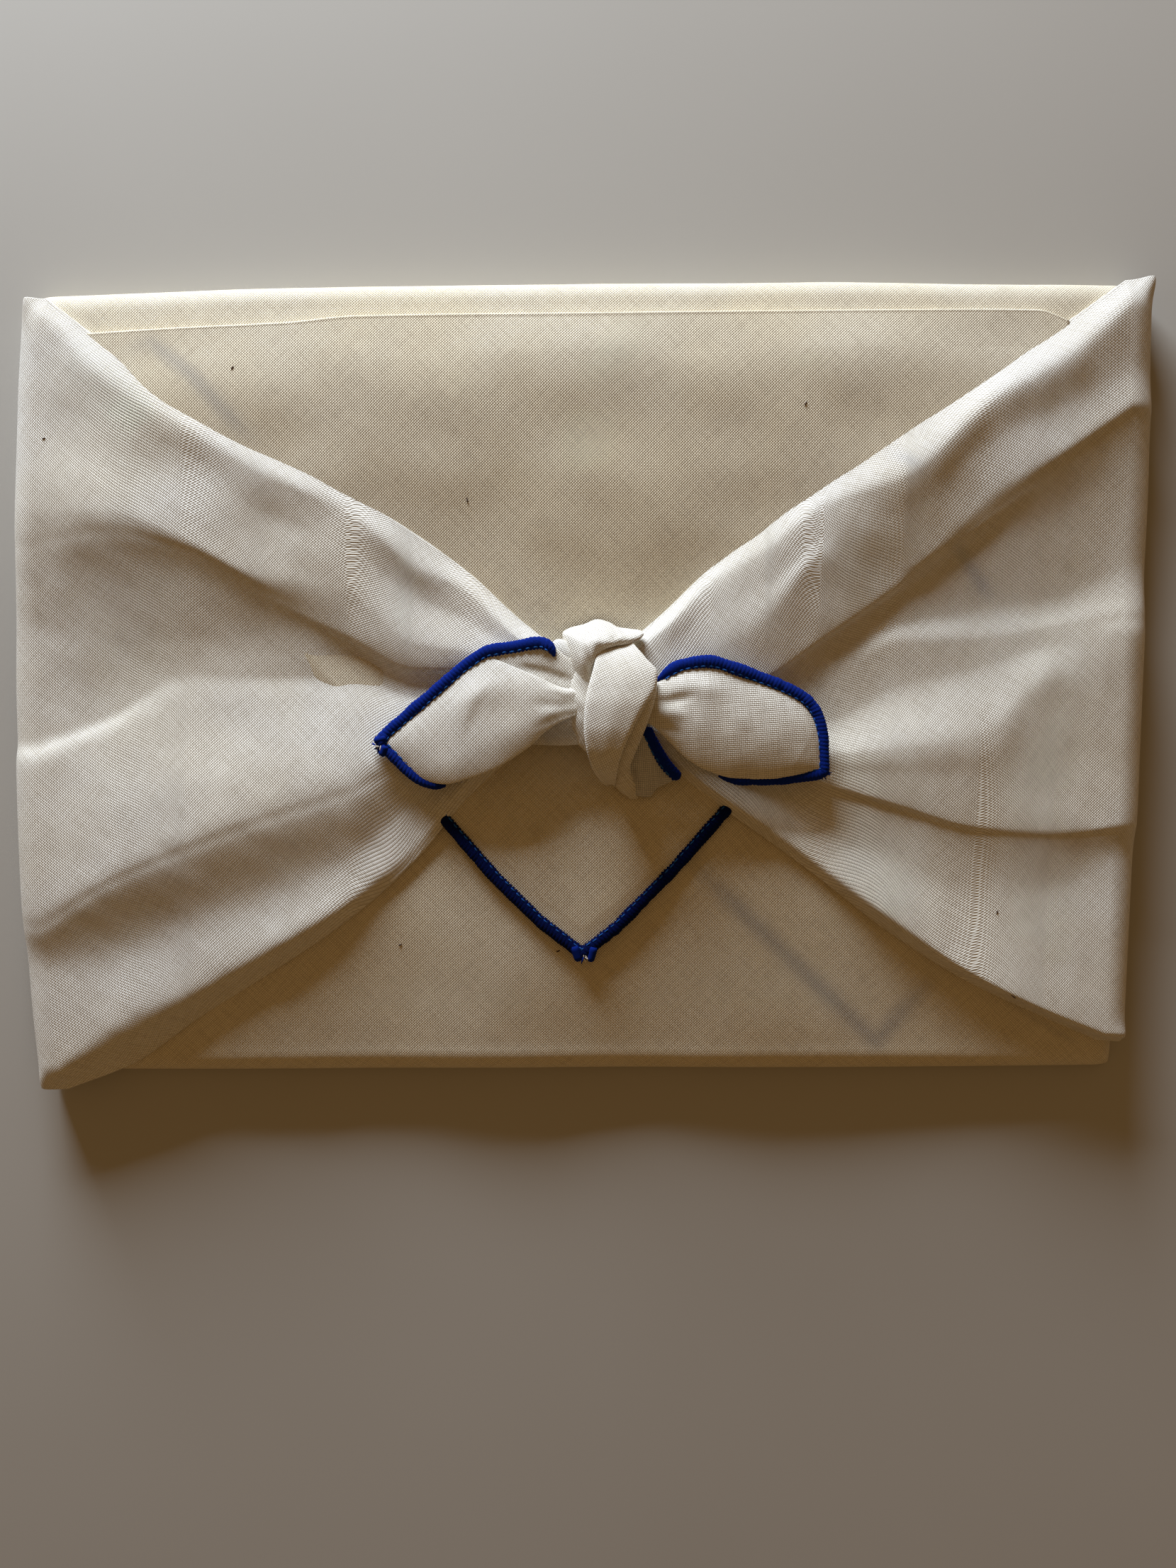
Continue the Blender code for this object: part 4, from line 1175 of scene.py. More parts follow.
@dataclass(frozen=True)
class Knot:
    """The single knot and the cloth's two free ends, from the inside of the knot outwards."""

    core: Bulge = Bulge("knot_core", (5.0, -4.5, 16.5), (9.4, 13.4, 6.2), seed=80)
    left_tuck: Bulge = Bulge(
        "knot_left_tuck", (-4.2, 5.0, 16.6), (4.2, 2.6, 2.6), seed=83, heading=-60.0, sheer=0.22, uneven=0.06
    )
    fold_over: Leaf = Leaf(
        "knot_fold_over",
        (
            (0.6, -2.4, 19.4), (-1.5, 0.5, 18.4), (-3.4, 4.0, 16.8), (-4.3, 7.0, 15.4),
            (-4.8, 10.2, 14.0), (-3.0, 11.6, 13.2), (0.0, 12.4, 12.8), (3.0, 13.5, 12.6),
            (5.5, 12.9, 12.8), (7.6, 11.7, 13.6), (10.5, 11.2, 14.8), (12.4, 10.8, 16.2),
            (13.1, 10.0, 17.6),
        ),
        (
            (1.4, -2.4, 20.4), (1.6, 0.0, 21.4), (1.9, 2.2, 22.2), (2.4, 3.6, 22.7), (3.2, 5.0, 22.9),
            (4.6, 6.2, 22.8), (6.5, 6.9, 22.4), (9.6, 7.5, 21.2), (12.2, 8.6, 19.2), (13.1, 9.6, 17.8),
        ),
        arch=3.3, thick=2.2, edge_thick=1.4, weave=Weave.STEEP.value,
        creases=(
            Crease(((1.7, 11.4), (0.9, 8.2), (1.2, 5.4), (1.7, 1.0)), -0.75, 0.7, 1.2),
            Crease(((2.6, 13.2), (2.6, 9.0), (3.2, 6.4)), 0.35, 1.0, 1.4),
            Crease(((-2.4, 10.8), (-1.6, 6.0), (0.2, 0.0)), 0.3, 1.4, 1.2),
            Crease(((7.6, 11.4), (7.0, 9.4), (5.4, 7.6)), -0.3, 0.8, 1.2),
        ),
        seed=81,
    )
    turn: Turn = Turn(
        "knot_turn",
        (
            (5.0, 9.4, 8.4, 16.4, 3.0), (3.4, 10.8, 6.2, 19.4, 4.2), (2.6, 13.2, 3.6, 21.6, 5.2),
            (1.7, 15.8, 0.4, 23.0, 6.0), (0.9, 15.4, -2.4, 23.8, 6.2), (0.2, 13.0, -6.2, 24.5, 6.2),
            (0.0, 10.7, -10.2, 24.6, 6.0), (0.4, 8.8, -14.0, 24.1, 5.6), (1.5, 7.5, -17.4, 22.6, 5.2),
            (3.6, 7.0, -20.6, 18.8, 4.2), (5.2, 6.8, -22.2, 15.6, 2.6),
        ),
        creases=(
            Crease(((15.0, 0.8), (12.0, 1.6), (8.4, 3.0), (5.4, 5.4)), 0.3, 1.6, 2.4),
            Crease(((5.6, 4.4), (3.4, -1.0), (2.6, -8.0), (3.6, -15.0)), 0.25, 1.6, 1.4),
            Crease(((14.6, -1.6), (12.4, -6.0), (10.2, -10.0), (8.2, -14.6)), -0.5, 0.9, 0.9),
        ),
        seed=60,
        droop=1.7,
    )
    side_roll: Turn = Turn(
        "knot_side_roll",
        (
            (12.6, 15.9, 0.0, 21.0, 1.6), (12.8, 15.8, -2.4, 22.0, 2.6), (11.6, 15.2, -5.2, 22.8, 3.2),
            (10.4, 14.4, -7.8, 23.0, 3.4), (9.0, 13.4, -10.6, 22.8, 3.6), (7.8, 12.2, -13.6, 22.0, 3.6),
            (6.6, 11.0, -16.6, 20.7, 3.6), (6.1, 10.2, -19.2, 19.0, 3.4), (6.2, 10.8, -21.8, 17.0, 3.2),
            (7.6, 11.8, -24.2, 14.8, 3.0), (9.8, 12.4, -26.0, 13.2, 2.2),
        ),
        creases=(Crease(((9.4, -19.6), (10.2, -22.0), (11.2, -24.6)), -0.5, 0.6, 0.6),),
        seed=61,
        uneven=0.06,
    )
    foot: Leaf = Leaf(
        "knot_foot",
        (
            (8.0, -11.0, 18.4), (13.2, -10.6, 18.6), (15.8, -14.8, 17.3), (18.2, -18.6, 16.4),
            (21.2, -22.0, 15.6),
        ),
        (
            (8.0, -22.4, 16.0), (11.6, -25.8, 14.6), (14.6, -26.2, 14.4), (16.4, -24.2, 14.8),
            (21.2, -22.0, 15.4),
        ),
        arch=0.5, thick=1.6, edge_thick=1.0, weave=Weave.STRAIGHT.value,
        creases=(Crease(((10.4, -18.6), (11.4, -21.4), (12.2, -25.6)), -0.6, 0.6, 0.7),),
        sheer=0.62,
        seed=44,
    )
    left_end: Leaf = Leaf(
        "left_end",
        (
            (4.0, -2.6, 19.6), (-3.9, -2.0, 20.2), (-9.7, 0.3, 20.2), (-15.4, 2.7, 19.4),
            (-20.4, 4.4, 18.6), (-24.6, 3.8, 17.9), (-30.4, -0.9, 17.3), (-35.6, -5.3, 16.9),
            (-39.2, -8.4, 16.7), (-44.4, -13.9, 16.5),
        ),
        (
            (4.0, -6.0, 20.2), (-3.9, -8.8, 20.6), (-8.2, -11.4, 20.8), (-11.4, -14.4, 20.8),
            (-15.0, -17.0, 20.6), (-19.1, -19.4, 20.2), (-25.0, -21.7, 19.4), (-30.6, -23.1, 18.4),
            (-35.2, -22.3, 17.6), (-38.9, -19.9, 17.0), (-42.4, -16.4, 16.7), (-44.4, -13.9, 16.5),
        ),
        arch=0.7, thick=2.0, edge_thick=0.8, weave=Weave.BIAS.value,
        creases=(
            Crease(((1.5, -4.8), (-5.0, -5.9), (-13.0, -5.4)), -0.3, 1.2, 1.5, 0.4),
            Crease(((1.5, -2.6), (-4.0, -2.9), (-10.0, -1.6)), 0.25, 0.9, 1.2, 0.4),
            Crease(((1.0, -6.6), (-5.0, -8.0), (-12.0, -11.4)), -0.2, 0.9, 1.0, 0.4),
            Crease(((-12.0, -0.5), (-22.0, -2.4), (-32.0, -9.0)), 0.35, 3.2, 2.6, 0.4),
            Crease(((-19.0, 2.4), (-25.0, -5.0), (-28.0, -15.0)), 0.35, 1.8, 2.6, 0.4),
        ),
        seed=41,
    )
    left_back: Leaf = Leaf(
        "left_end_back",
        (
            (4.0, 3.0, 19.0), (-1.0, 3.6, 19.2), (-4.0, 5.0, 19.2), (-6.2, 6.6, 19.0), (-9.6, 7.6, 18.8),
            (-15.2, 6.7, 18.4), (-20.6, 5.8, 18.1), (-24.4, 3.9, 17.8), (-28.0, 0.9, 17.4),
        ),
        (
            (4.0, -13.0, 18.4), (0.0, -14.2, 18.2), (-5.0, -14.6, 18.0), (-10.6, -14.4, 17.8),
            (-16.0, -12.0, 17.6), (-21.0, -11.0, 17.2), (-25.0, -8.0, 17.0), (-28.0, 1.0, 17.2),
        ),
        arch=0.4, thick=1.2, edge_thick=0.8, weave=Weave.BIAS.value,
        creases=(
            Crease(((-16.0, 3.0), (-8.0, 1.4), (-1.0, -1.2)), -0.5, 1.0, 1.4, 0.3),
            Crease(((2.0, -10.0), (-4.0, -11.4), (-9.0, -12.4)), -0.3, 0.8, 0.8, 0.3),
        ),
        under_edges=(UnderEdge(((2.0, -10.6), (-4.0, -11.4), (-10.0, -13.4)), 2.4, 0.6),),
        seed=42,
    )
    right_end: Leaf = Leaf(
        "right_end",
        (
            (8.0, -2.8, 19.8), (14.5, -1.6, 20.0), (17.2, 0.2, 19.8), (22.0, 2.2, 19.7),
            (27.6, 2.6, 19.3), (35.2, 0.4, 18.5), (43.6, -2.4, 17.6), (48.9, -5.6, 17.0),
            (51.4, -9.4, 16.7), (52.5, -14.2, 16.5), (52.8, -20.0, 16.4),
        ),
        (
            (8.0, -8.0, 19.8), (14.2, -9.8, 20.2), (18.5, -13.6, 20.6), (22.2, -17.2, 20.6),
            (26.5, -19.8, 20.2), (33.0, -21.7, 19.4), (40.2, -22.0, 18.4), (47.0, -21.4, 17.3),
            (52.8, -20.0, 16.4),
        ),
        arch=1.0, thick=2.2, edge_thick=0.8, weave=Weave.STRAIGHT.value,
        creases=(
            Crease(((12.5, -4.8), (18.0, -5.0), (25.0, -3.6)), -0.55, 1.2, 1.3, 0.45),
            Crease(((13.0, -8.8), (17.6, -10.4), (22.0, -12.8)), -0.4, 1.1, 1.0, 0.45),
            Crease(((13.0, -7.0), (18.0, -7.5), (24.0, -7.8)), 0.25, 1.0, 1.4, 0.45),
            Crease(((36.0, -6.0), (33.0, -11.0), (32.0, -16.0)), 0.2, 2.4, 2.8, 0.4),
            Crease(((16.0, -2.0), (24.0, -1.4), (33.0, -3.0)), 0.4, 1.8, 2.2, 0.4),
        ),
        seed=43,
    )

    def parts(self) -> tuple[Bulge | Leaf | Turn, ...]:
        """List the knot's pieces."""
        middle = (self.core, self.left_tuck, self.fold_over, self.side_roll, self.turn, self.foot)
        return (*middle, self.left_end, self.left_back, self.right_end)


# ---------------------------------------------------------------- the edging


@dataclass(frozen=True)
class Overlock:
    """A stretch of the overlocked edge: looper threads wrapped round the cloth's rim.

    Attributes:
        name: the piece's name.
        node: the solid that it stands for.
        route: x, y, z along its middle.
        cloth_side: 1 where the cloth lies on the left of its way, -1 on the right.
        seed: which wraps are fuller than others.
        taper: how long its start and its end draw in.
        blunt: the part of its thickness that is left at its very ends.
        stitch: from one wrap to the next.
        slant: how far a wrap slants, in wraps.
        ridge, ridge_round, ridge_level: how far the wraps stand out, how round and from what level.
        scallop: how far their turns reach on the cloth's side.
        wobble, wobble_step: how uneven the wraps are, and over what length.
        needle_step, needle_length: from one needle stitch to the next, and how long each shows.
        needle_place, needle_height: how far in and how high it lies, as parts of the cord's halves.
        needle_bow: how far its middle stands up.
        needle_stray: how far it strays along the cord and across it.
        rough_points: points for the first measure of its length.
    """

    name: str
    node: str
    route: np.ndarray
    cloth_side: int
    seed: int
    taper: tuple[float, float] = (0.8, 0.8)
    blunt: float = 0.25
    half_width: float = 1.36
    half_height: float = 0.95
    stitch: float = 0.86
    slant: float = 0.28
    ridge: float = 0.09
    ridge_round: float = 0.8
    ridge_level: float = 0.6
    scallop: float = 0.2
    wobble: float = 0.05
    wobble_step: float = 1.3
    step: float = 0.12
    round_points: int = 28
    needle_step: float = 1.75
    needle_length: float = 1.15
    needle_place: float = 0.72
    needle_height: float = 0.62
    needle_bow: float = 0.16
    needle_radius: float = 0.17
    needle_stray: tuple[float, float] = (0.08, 0.06)
    rough_points: int = 200

    def way(self) -> tuple[np.ndarray, np.ndarray, np.ndarray, np.ndarray, float]:
        """Work out the cord's way in even steps.

        Returns:
            The places, the ways to the left and up, the length so far at each, and the whole length.
        """
        route = tuple(map(tuple, self.route))
        total = arc_length(along(route, self.rough_points)[:, None], 0)[-1, 0]
        place = along(route, int(total / self.step))
        ahead = np.gradient(place, axis=0)
        ahead /= np.linalg.norm(ahead, axis=1)[:, None]
        side = np.cross(np.array([0, 0, 1.0]), ahead)
        side /= np.linalg.norm(side, axis=1)[:, None]
        return place, side, np.cross(ahead, side), arc_length(place[:, None], 0)[:, 0], total

    def cord(self, finish: bpy.types.Material) -> bpy.types.Object:
        """Build the wrapped cord."""
        place, side, up, run, total = self.way()
        angle = np.linspace(0, 2 * pi, self.round_points, endpoint=False)
        phase = run[:, None] / self.stitch + self.slant * np.cos(angle) * self.cloth_side
        knots = np.arange(0, total + self.wobble_step, self.wobble_step)
        wobble = np.interp(run, knots, np.random.default_rng(self.seed).normal(0, self.wobble, len(knots)))
        ridge = np.abs(np.sin(pi * phase)) ** self.ridge_round - self.ridge_level
        grow = 1 + self.ridge * ridge + wobble[:, None]
        inner = np.clip(np.cos(angle) * self.cloth_side, 0, 1) ** 3
        reach = self.half_width * grow + self.scallop * inner * (np.abs(np.sin(pi * phase)) - 0.5)
        start, stop = self.taper
        ends = np.clip(np.minimum(run / start, (total - run) / stop), 0, 1)[:, None] ** 0.5
        ends = np.maximum(ends, self.blunt)
        points = place[:, None] + side[:, None] * (reach * np.cos(angle) * ends)[..., None]
        points = points + up[:, None] * (self.half_height * grow * np.sin(angle) * ends)[..., None]
        around = np.broadcast_to(angle * self.half_width, points.shape[:2])
        flat = np.stack([np.broadcast_to(run[:, None], points.shape[:2]), around], -1)
        return Lay(points, flat).build(self.name, 0.0, finish)

    def needle(self) -> list:
        """List the needle thread's short stitches, which lie along the inner side of the wraps."""
        place, side, up, run, total = self.way()
        rng = np.random.default_rng(self.seed + 5)
        bow = self.needle_bow * np.sin(np.linspace(0, pi, STRAND_POINTS))[:, None]
        stray_along, stray_across = self.needle_stray
        strands = []
        for start in np.arange(self.needle_step, total - 2 * self.needle_step, self.needle_step):
            reach = start + np.linspace(0, self.needle_length, STRAND_POINTS) + rng.normal(0, stray_along)
            k = np.clip(np.searchsorted(run, reach), 0, len(run) - 1)
            inner = self.half_width * self.needle_place + rng.normal(0, stray_across)
            over = up[k] * (self.half_height * self.needle_height + bow)
            strands.append((place[k] + side[k] * self.cloth_side * inner + over, self.needle_radius))
        return strands


def strand_mesh(name: str, strands: list, finishes: tuple, kinds: list) -> bpy.types.Object:
    """Make one piece of many short thin threads.

    Args:
        name: the piece's name.
        strands: for each, its points and its radius, in millimetres.
        finishes: the materials.
        kinds: which material each strand takes.

    Returns:
        The new object.
    """
    angle = np.linspace(0, 2 * pi, STRAND_SIDES, endpoint=False)[:, None]
    points, faces, finish_of = [], [], []
    for (path, radius), kind in zip(strands, kinds):
        ahead = np.gradient(path, axis=0)
        ahead /= np.linalg.norm(ahead, axis=1)[:, None]
        lean = np.cross(ahead, STRAND_LEAN)
        lean /= np.linalg.norm(lean, axis=1)[:, None]
        other = np.cross(ahead, lean)
        taper = np.linspace(1.0, STRAND_TAPER, len(path))
        taper[[0, -1]] *= STRAND_TIPS
        start = len(points) * STRAND_SIDES
        for k, place in enumerate(path):
            points.append(place + (lean[k] * np.cos(angle) + other[k] * np.sin(angle)) * radius * taper[k])
        ring = start + np.arange(STRAND_SIDES)
        caps = [ring[::-1].tolist(), (ring + (len(path) - 1) * STRAND_SIDES).tolist()]
        made = []
        for _ in path[1:]:
            beside, above = np.roll(ring, -1), ring + STRAND_SIDES
            made += np.stack([ring, beside, beside + STRAND_SIDES, above], 1).tolist()
            ring = above
        made += caps
        faces += made
        finish_of += [kind] * len(made)
    obj = mesh_piece(name, np.concatenate(points), faces, finishes[0])
    for finish in finishes[1:]:
        obj.data.materials.append(finish)
    obj.data.polygons.foreach_set("material_index", finish_of)
    return obj


@dataclass(frozen=True)
class Tuft:
    """The frayed threads where two stretches of edging meet at a corner of the cloth.

    Attributes:
        name: the piece's name.
        place: the corner.
        heading: degrees from X, outward.
        stubs: x, y of the start and the end of each cut end of edging.
        blue, white: how many threads of each colour.
        length: the longest blue thread.
        seed: which way each thread goes.
        spread: how far the threads fan out to each side, in degrees.
        rise: how steeply they fall or rise.
        reach: the shortest and the longest, as parts of the length.
        white_reach: how much farther the white ones reach.
        scatter: how far from the corner they start.
        curl, sag: how far they curl to a side and hang.
        radius: of the thinnest and the thickest.
    """

    name: str
    place: Place
    heading: float
    stubs: Route
    blue: int
    white: int
    length: float
    seed: int
    stub_radius: float = 1.1
    stub_drop: float = 0.3
    spread: float = 75.0
    rise: tuple[float, float] = (-0.25, 0.55)
    reach: tuple[float, float] = (0.55, 1.0)
    white_reach: float = 1.12
    scatter: float = 0.35
    curl: float = 0.6
    sag: float = 0.6
    radius: tuple[float, float] = (0.13, 0.2)

    def build(self, blue: bpy.types.Material, white: bpy.types.Material) -> bpy.types.Object:
        """Build the tuft."""
        rng = np.random.default_rng(self.seed)
        strands, kinds = [], []
        for x0, y0, x1, y1 in self.stubs:
            reach = np.linspace(0, 1, 8)[:, None]
            path = np.array([x0, y0, self.place[2]]) + np.array([x1 - x0, y1 - y0, -self.stub_drop]) * reach
            strands.append((path, self.stub_radius))
            kinds.append(0)
        for k in range(self.blue + self.white):
            way = radians(self.heading + rng.uniform(-self.spread, self.spread))
            head = np.array([cos(way), sin(way), rng.uniform(*self.rise)])
            reach = self.length * rng.uniform(*self.reach) * (self.white_reach if k >= self.blue else 1.0)
            start = np.array(self.place) + rng.normal(0, self.scatter, 3) * np.array([1, 1, 0.5])
            bend = rng.uniform(-self.curl, self.curl) * self.curl * reach
            hang = np.array([-sin(way) * bend, cos(way) * bend, -self.sag])
            t = np.linspace(0, 1, STRAND_POINTS)[:, None]
            path = start + head * reach * t + hang * t**2
            strands.append((path, rng.uniform(*self.radius)))
            kinds.append(int(k >= self.blue))
        return strand_mesh(self.name, strands, (blue, white), kinds)


@dataclass(frozen=True)
class Edging:
    """All the blue overlocked edge that shows, with its corner tufts.

    Attributes:
        flap_span: x of the two ends of the flap's stretch.
        flap_rise: its middle above the bundle's face.
        tuck: how far those ends sink under the wings.
        tuck_length: over what length they sink.
        left_end, right_end, knot: x, y, z along the middles of the other stretches.
        left_corner, right_corner, flap_corner: where the edging frays.
        left_stubs, right_stubs, flap_stubs: x, y of the start and the end of each cut end there.
    """

    flap_span: tuple[float, float] = (-35.5, 38.0)
    flap_rise: float = 1.15
    tuck: float = 2.2
    tuck_length: float = 2.2
    left_end: Route = (
        (-6.4, 4.9, 19.6), (-7.3, 6.9, 19.6), (-9.6, 7.9, 19.2), (-15.2, 7.0, 18.5), (-20.9, 6.1, 18.2),
        (-24.4, 4.1, 18.0), (-30.4, -0.7, 17.5), (-35.6, -5.1, 17.1), (-39.2, -8.2, 16.8),
        (-44.6, -13.9, 16.5), (-42.4, -16.6, 16.6), (-38.9, -20.1, 16.7), (-35.2, -22.5, 16.9),
        (-30.6, -23.5, 17.2),
    )
    right_end: Route = (
        (15.9, -0.4, 19.9), (18.4, 1.5, 19.9), (21.4, 3.0, 19.7), (27.0, 3.8, 19.4), (33.4, 2.2, 18.8),
        (39.0, 0.2, 18.0), (44.6, -2.0, 17.4), (49.2, -4.7, 16.9), (51.8, -8.6, 16.6),
        (52.9, -13.8, 16.5), (53.1, -20.2, 16.4), (48.4, -21.4, 16.7), (42.0, -22.0, 17.3),
        (35.4, -22.0, 18.2), (29.6, -21.2, 18.9),
    )
    knot: Route = ((13.4, -10.6, 18.6), (15.6, -14.8, 17.6), (18.0, -18.6, 16.9), (21.2, -22.0, 16.3))
    left_corner: Place = (-45.2, -14.6, 16.8)
    right_corner: Place = (53.4, -20.6, 16.6)
    flap_corner: Place = (-0.2, -62.6, 12.6)
    left_stubs: Route = ((-43.6, -12.8, -46.4, -13.6), (-43.8, -14.6, -44.9, -16.9))
    right_stubs: Route = ((52.9, -17.4, 54.0, -21.2),)
    flap_stubs: Route = ((-2.2, -60.2, -1.2, -63.7), (2.2, -60.4, 1.4, -63.8))

    def tufts(self) -> tuple[Tuft, ...]:
        """List the frayed corners."""
        return (
            Tuft("tuft_left_end", self.left_corner, 195.0, self.left_stubs,
                 blue=16, white=7, length=1.7, seed=101),
            Tuft("tuft_right_end", self.right_corner, -60.0, self.right_stubs,
                 blue=10, white=8, length=1.5, seed=102, stub_radius=0.85),
            Tuft("tuft_flap", self.flap_corner, -90.0, self.flap_stubs,
                 blue=12, white=6, length=1.6, seed=103, spread=50.0),
        )

    def flap_route(self, flap: TopFlap) -> np.ndarray:
        """Lay the flap's edging on the bundle's face."""
        xs, ys = zip(*flap.point)
        start, stop = self.flap_span
        x = np.union1d(np.linspace(start, stop, 60), [place for place in xs if start < place < stop])
        y = np.interp(x, xs, ys)
        sunk = np.clip(1 - np.minimum(x - start, stop - x) / self.tuck_length, 0, 1) ** 1.5 * self.tuck
        return np.column_stack([x, y, face_height(x, y) + self.flap_rise - sunk])

    def runs(self, flap: TopFlap) -> tuple[Overlock, ...]:
        """List the stretches of edging."""
        left, right, knot = (np.array(route) for route in (self.left_end, self.right_end, self.knot))
        return (
            Overlock("overlock_flap", "edging_flap", self.flap_route(flap), 1, seed=91),
            Overlock("overlock_left_end", "edging_left_end", left, 1, seed=92, taper=(3.2, 2.4)),
            Overlock("overlock_right_end", "edging_right_end", right, -1, seed=93, taper=(4.5, 4.0)),
            Overlock("overlock_knot", "edging_knot", knot, -1, seed=94),
        )


@dataclass(frozen=True)
class SeedHusk:
    """Dark brown husk."""

    name: str = "seed_husk"
    colour: Colour = (0.045, 0.022, 0.010)
    paler: float = 1.8  # how much paler its light streaks are
    grain: float = 3000.0
    roughness: float = 0.8

    def make(self) -> bpy.types.Material:
        """Build the material."""
        n = Nodes(self.name)
        place = n.add("ShaderNodeTexCoord").outputs["Object"]
        pale = tuple(value * self.paler for value in self.colour)
        n.put(n.shader.inputs["Base Color"], n.blend(n.noise(place, self.grain), self.colour, pale))
        n.matt(self.roughness)
        return n.material


@dataclass(frozen=True)
class Flecks:
    """Bits of seed husk caught in the cotton.

    Attributes:
        places: x, y, heading in degrees and length of each.
        radius: half their thickness.
        stand: how far their middles stand above the cloth, as a part of the radius.
        from_height: from where they are dropped on it, in metres.
    """

    places: Route = (
        (-25.9, 39.8, 100.0, 1.1), (48.8, 60.6, 70.0, 0.9), (-5.9, -61.7, 20.0, 0.8),
        (-77.4, 68.5, 50.0, 0.8), (97.5, -71.7, -40.0, 1.3), (-120.2, 53.6, 10.0, 0.7),
        (-42.0, -60.3, 15.0, 0.7), (94.0, -52.6, 80.0, 0.7),
    )
    radius: float = 0.17
    stand: float = 0.3
    from_height: float = 0.1

    def build(self, cloths: list, finish: bpy.types.Material) -> bpy.types.Object:
        """Lay the flecks on whatever cloth is uppermost.

        Args:
            cloths: the pieces of cloth.
            finish: the material.

        Returns:
            The new object.
        """
        trees = []
        for cloth in cloths:
            faces = [tuple(face.vertices) for face in cloth.data.polygons if len(face.vertices) == 4]
            trees.append(BVHTree.FromPolygons([point.co for point in cloth.data.vertices], faces))
        strands = []
        for x, y, heading, length in self.places:
            above = Vector(((x - MIDDLE[0]) * MM, (y - MIDDLE[1]) * MM, self.from_height))
            hits = [tree.ray_cast(above, Vector((0, 0, -1)))[0] for tree in trees]
            top = max(hit.z for hit in hits if hit is not None) / MM
            reach = np.linspace(-0.5, 0.5, STRAND_POINTS)[:, None] * length
            way = np.array([cos(radians(heading)), sin(radians(heading)), 0.0])
            strands.append((np.array([x, y, top + self.radius * self.stand]) + way * reach, self.radius))
        return strand_mesh("seed_flecks", strands, (finish,), [0] * len(strands))


# ---------------------------------------------------------------- the studio


@dataclass(frozen=True)
class Studio:
    """The pale floor, soft lights and the camera.

    Attributes:
        camera_place: x, y, z in millimetres.
        camera_back: y and z of the way back from the view.
        lens, sensor: focal length and film width, in millimetres.
        clip: the nearest and the farthest that it sees, in metres.
        floor_half: half the floor's side, in metres.
        key_heading, key_height: where the soft light hangs, in degrees from X and above the floor.
        key_far, key_size: how far off and how large it is, in metres.
        key_power: in watts.
        fill_strength: how bright the surround is.
    """

    camera_place: Place = (1.8, -5.29, 277.56)
    camera_back: tuple[float, float] = (0.05756, 0.99834)
    lens: float = 27.05
    sensor: float = 36.0
    clip: tuple[float, float] = (0.005, 20.0)
    floor_half: float = 1.6
    key_heading: float = 107.0
    key_height: float = 13.4
    key_far: float = 0.75
    key_size: tuple[float, float] = (0.40, 0.25)
    key_power: float = 12.0
    key_colour: Colour = (0.85, 0.965, 1.12)
    fill_strength: float = 0.185
    fill_colour: Colour = (1.0, 0.60, 0.25)

    def floor(self) -> bpy.types.Object:
        """Build the floor."""
        half = self.floor_half
        mesh = bpy.data.meshes.new("floor")
        corners = [(-half, -half, 0), (half, -half, 0), (half, half, 0), (-half, half, 0)]
        mesh.from_pydata(corners, [], [(0, 1, 2, 3)])
        mesh.materials.append(PlainFloor().make())
        obj = bpy.data.objects.new("floor", mesh)
        bpy.context.scene.collection.objects.link(obj)
        return obj

    def camera(self) -> None:
        """Stand the camera over the knot, looking down and a little up the face."""
        data = bpy.data.cameras.new("camera")
        data.lens = self.lens
        data.sensor_width = self.sensor
        data.clip_start, data.clip_end = self.clip
        obj = bpy.data.objects.new("camera", data)
        x, y, z = (value * MM for value in self.camera_place)
        back_y, back_z = self.camera_back
        rows = ((1, 0, 0, x), (0, back_z, back_y, y), (0, -back_y, back_z, z), (0, 0, 0, 1))
        obj.matrix_world = Matrix(rows)
        bpy.context.scene.collection.objects.link(obj)
        bpy.context.scene.camera = obj

    def lights(self) -> None:
        """Hang a wide soft light beyond the top edge and lift the shade with a warm surround."""
        data = bpy.data.lights.new("key", "AREA")
        data.shape = "RECTANGLE"
        data.size, data.size_y = self.key_size
        data.energy = self.key_power
        data.color = self.key_colour
        obj = bpy.data.objects.new("key", data)
        heading, height = radians(self.key_heading), radians(self.key_height)
        way = Vector((cos(height) * cos(heading), cos(height) * sin(heading), sin(height)))
        obj.location = way * self.key_far
        obj.rotation_euler = way.to_track_quat("Z", "Y").to_euler()
        bpy.context.scene.collection.objects.link(obj)
        world = bpy.data.worlds.new("surround")
        world.use_nodes = True
        back = world.node_tree.nodes["Background"]
        back.inputs["Color"].default_value = (*self.fill_colour, 1.0)
        back.inputs["Strength"].default_value = self.fill_strength
        bpy.context.scene.world = world

    def build(self) -> None:
        """Set up the whole studio."""
        self.camera()
        self.lights()
        self.floor()
        bpy.context.scene.view_settings.view_transform = "Standard"


# ---------------------------------------------------------------- the wrap


@dataclass(frozen=True)
class Cut:
    """The stretch of the square cloth that one piece takes up.

    Attributes:
        flat: its width and length when flat, in millimetres.
        area: its flat area in square millimetres, where it isn't a rectangle.
        held: how it is held.
        rests_on: the pieces that it lies on.
        sewn: the pieces sewn to it.
    """

    flat: tuple[float, float]
    area: float | None
    held: Held
    rests_on: tuple[str, ...] = ()
    sewn: tuple[str, ...] = ()

    def declare(self, name: str) -> None:
        """Do nothing; the flat size is not handed to the frame."""


FLAP_TRIM = ("overlock_flap", "tuft_flap")
LEFT_TRIM = ("overlock_left_end", "tuft_left_end")
RIGHT_TRIM = ("overlock_right_end", "tuft_right_end")

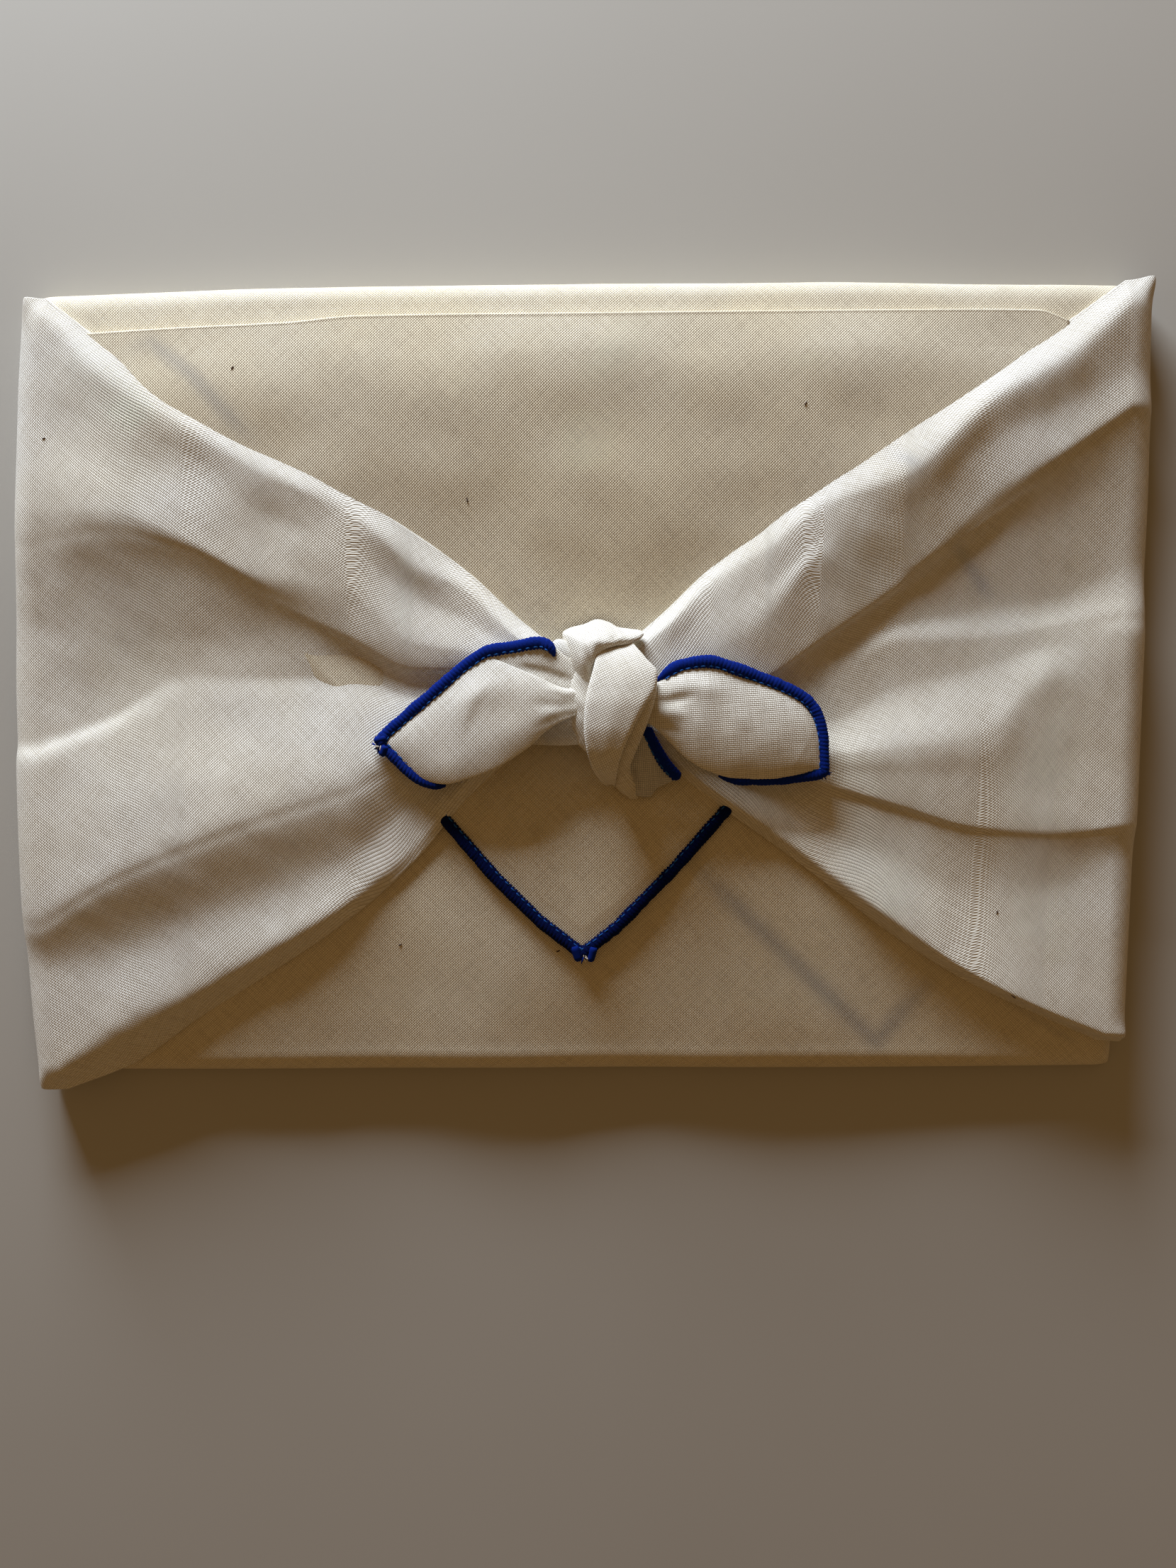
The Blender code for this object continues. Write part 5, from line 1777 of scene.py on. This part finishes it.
CUTS = {
    "bundle": Cut((256.0, 183.0), None, Held.FOLDED),
    "top_flap": Cut((222.0, 143.0), 19900.0, Held.FOLDED, ("bundle",), FLAP_TRIM),
    "left_wing": Cut((127.0, 181.0), 16000.0, Held.STRETCHED, ("bundle", "top_flap")),
    "right_wing": Cut((122.0, 172.0), 15100.0, Held.STRETCHED, ("bundle", "top_flap")),
    "knot_core": Cut((30.0, 20.0), None, Held.GATHERED, ("left_wing", "right_wing")),
    "knot_left_tuck": Cut((10.0, 10.0), 60.0, Held.GATHERED, ("left_wing",)),
    "knot_fold_over": Cut((19.0, 15.0), 250.0, Held.GATHERED, ("knot_core",)),
    "knot_side_roll": Cut((30.0, 10.0), 200.0, Held.GATHERED, ("knot_core",)),
    "knot_turn": Cut((34.0, 15.0), None, Held.GATHERED, ("knot_core",)),
    "knot_foot": Cut((15.0, 15.0), 150.0, Held.GATHERED, ("top_flap",), ("overlock_knot",)),
    "left_end": Cut((50.0, 24.0), 750.0, Held.LAID, ("left_wing",), LEFT_TRIM),
    "left_end_back": Cut((33.0, 22.0), 600.0, Held.LAID, ("left_wing",)),
    "right_end": Cut((46.0, 24.0), 800.0, Held.LAID, ("right_wing",), RIGHT_TRIM),
}


@dataclass(frozen=True)
class Wrap:
    """The whole furoshiki wrap."""

    bundle: Bundle = Bundle()
    flap: TopFlap = TopFlap()
    left: Wing = LEFT_WING
    right: Wing = RIGHT_WING
    knot: Knot = Knot()
    edging: Edging = Edging()
    flecks: Flecks = Flecks()

    def build(self) -> None:
        """Build every piece, hand it to the frame and report it."""
        cotton = CottonSheeting().make()
        # doubled carries the creamier cotton with painted warm shade.
        doubled = DOUBLED_COTTON_WITH_PAINTED_SHADE.make()
        blue = LooperThread().make()
        # The flap's edging takes the thread with painted shade.
        painted_shade_threads = {"overlock_flap": PAINTED_SHADE_THREAD.make()}
        cloths = [
            self.bundle.lay().build("bundle", Weave.BIAS.value, doubled),
            self.flap.lay().build("top_flap", Weave.BIAS.value, doubled),
            *(wing.lay().build(wing.name, Weave.BIAS.value, cotton) for wing in (self.left, self.right)),
        ]
        for cloth in cloths:
            self.place(cloth, Slot.CLOTH, "cloth")
        self.place(self.flecks.build(cloths, SeedHusk().make()), Slot.CLOTH)
        for part in self.knot.parts():
            self.place(part.lay().build(part.name, part.weave, cotton), Slot.CLOTH, "cloth")
        runs = self.edging.runs(self.flap)
        for run in runs:
            self.place(run.cord(painted_shade_threads.get(run.name, blue)), Slot.THREAD, run.node)
        stitches = [strand for run in runs for strand in run.needle()]
        needle = NEEDLE_THREAD.make()
        self.place(strand_mesh("needle_stitches", stitches, (needle,), [0] * len(stitches)), Slot.THREAD)
        for tuft in self.edging.tufts():
            self.place(tuft.build(blue, cotton), Slot.THREAD)
        for name, cut in CUTS.items():
            cut.declare(name)

    @staticmethod
    def place(obj: bpy.types.Object, slot: Slot, *nodes: str) -> None:
        """Hand a piece to the frame and report it.

        Args:
            obj: the piece.
            slot: its material slot; not used.
            nodes: the solids that it stands for.
        """
        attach(obj, "root")
        if nodes:
            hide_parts(*nodes)
        faces = sum(len(face.vertices) - 2 for face in obj.data.polygons)
        area = sum(face.area for face in obj.data.polygons)
        LOG.info("%s: %d triangles, %.0f square centimetres", obj.name, faces, area / CENTIMETRE**2)


def main() -> None:
    """Build the wrap in its studio."""
    logging.basicConfig(level=logging.INFO, format="%(message)s")
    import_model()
    Studio().build()
    Wrap().build()


if __name__ == "__main__":
    main()
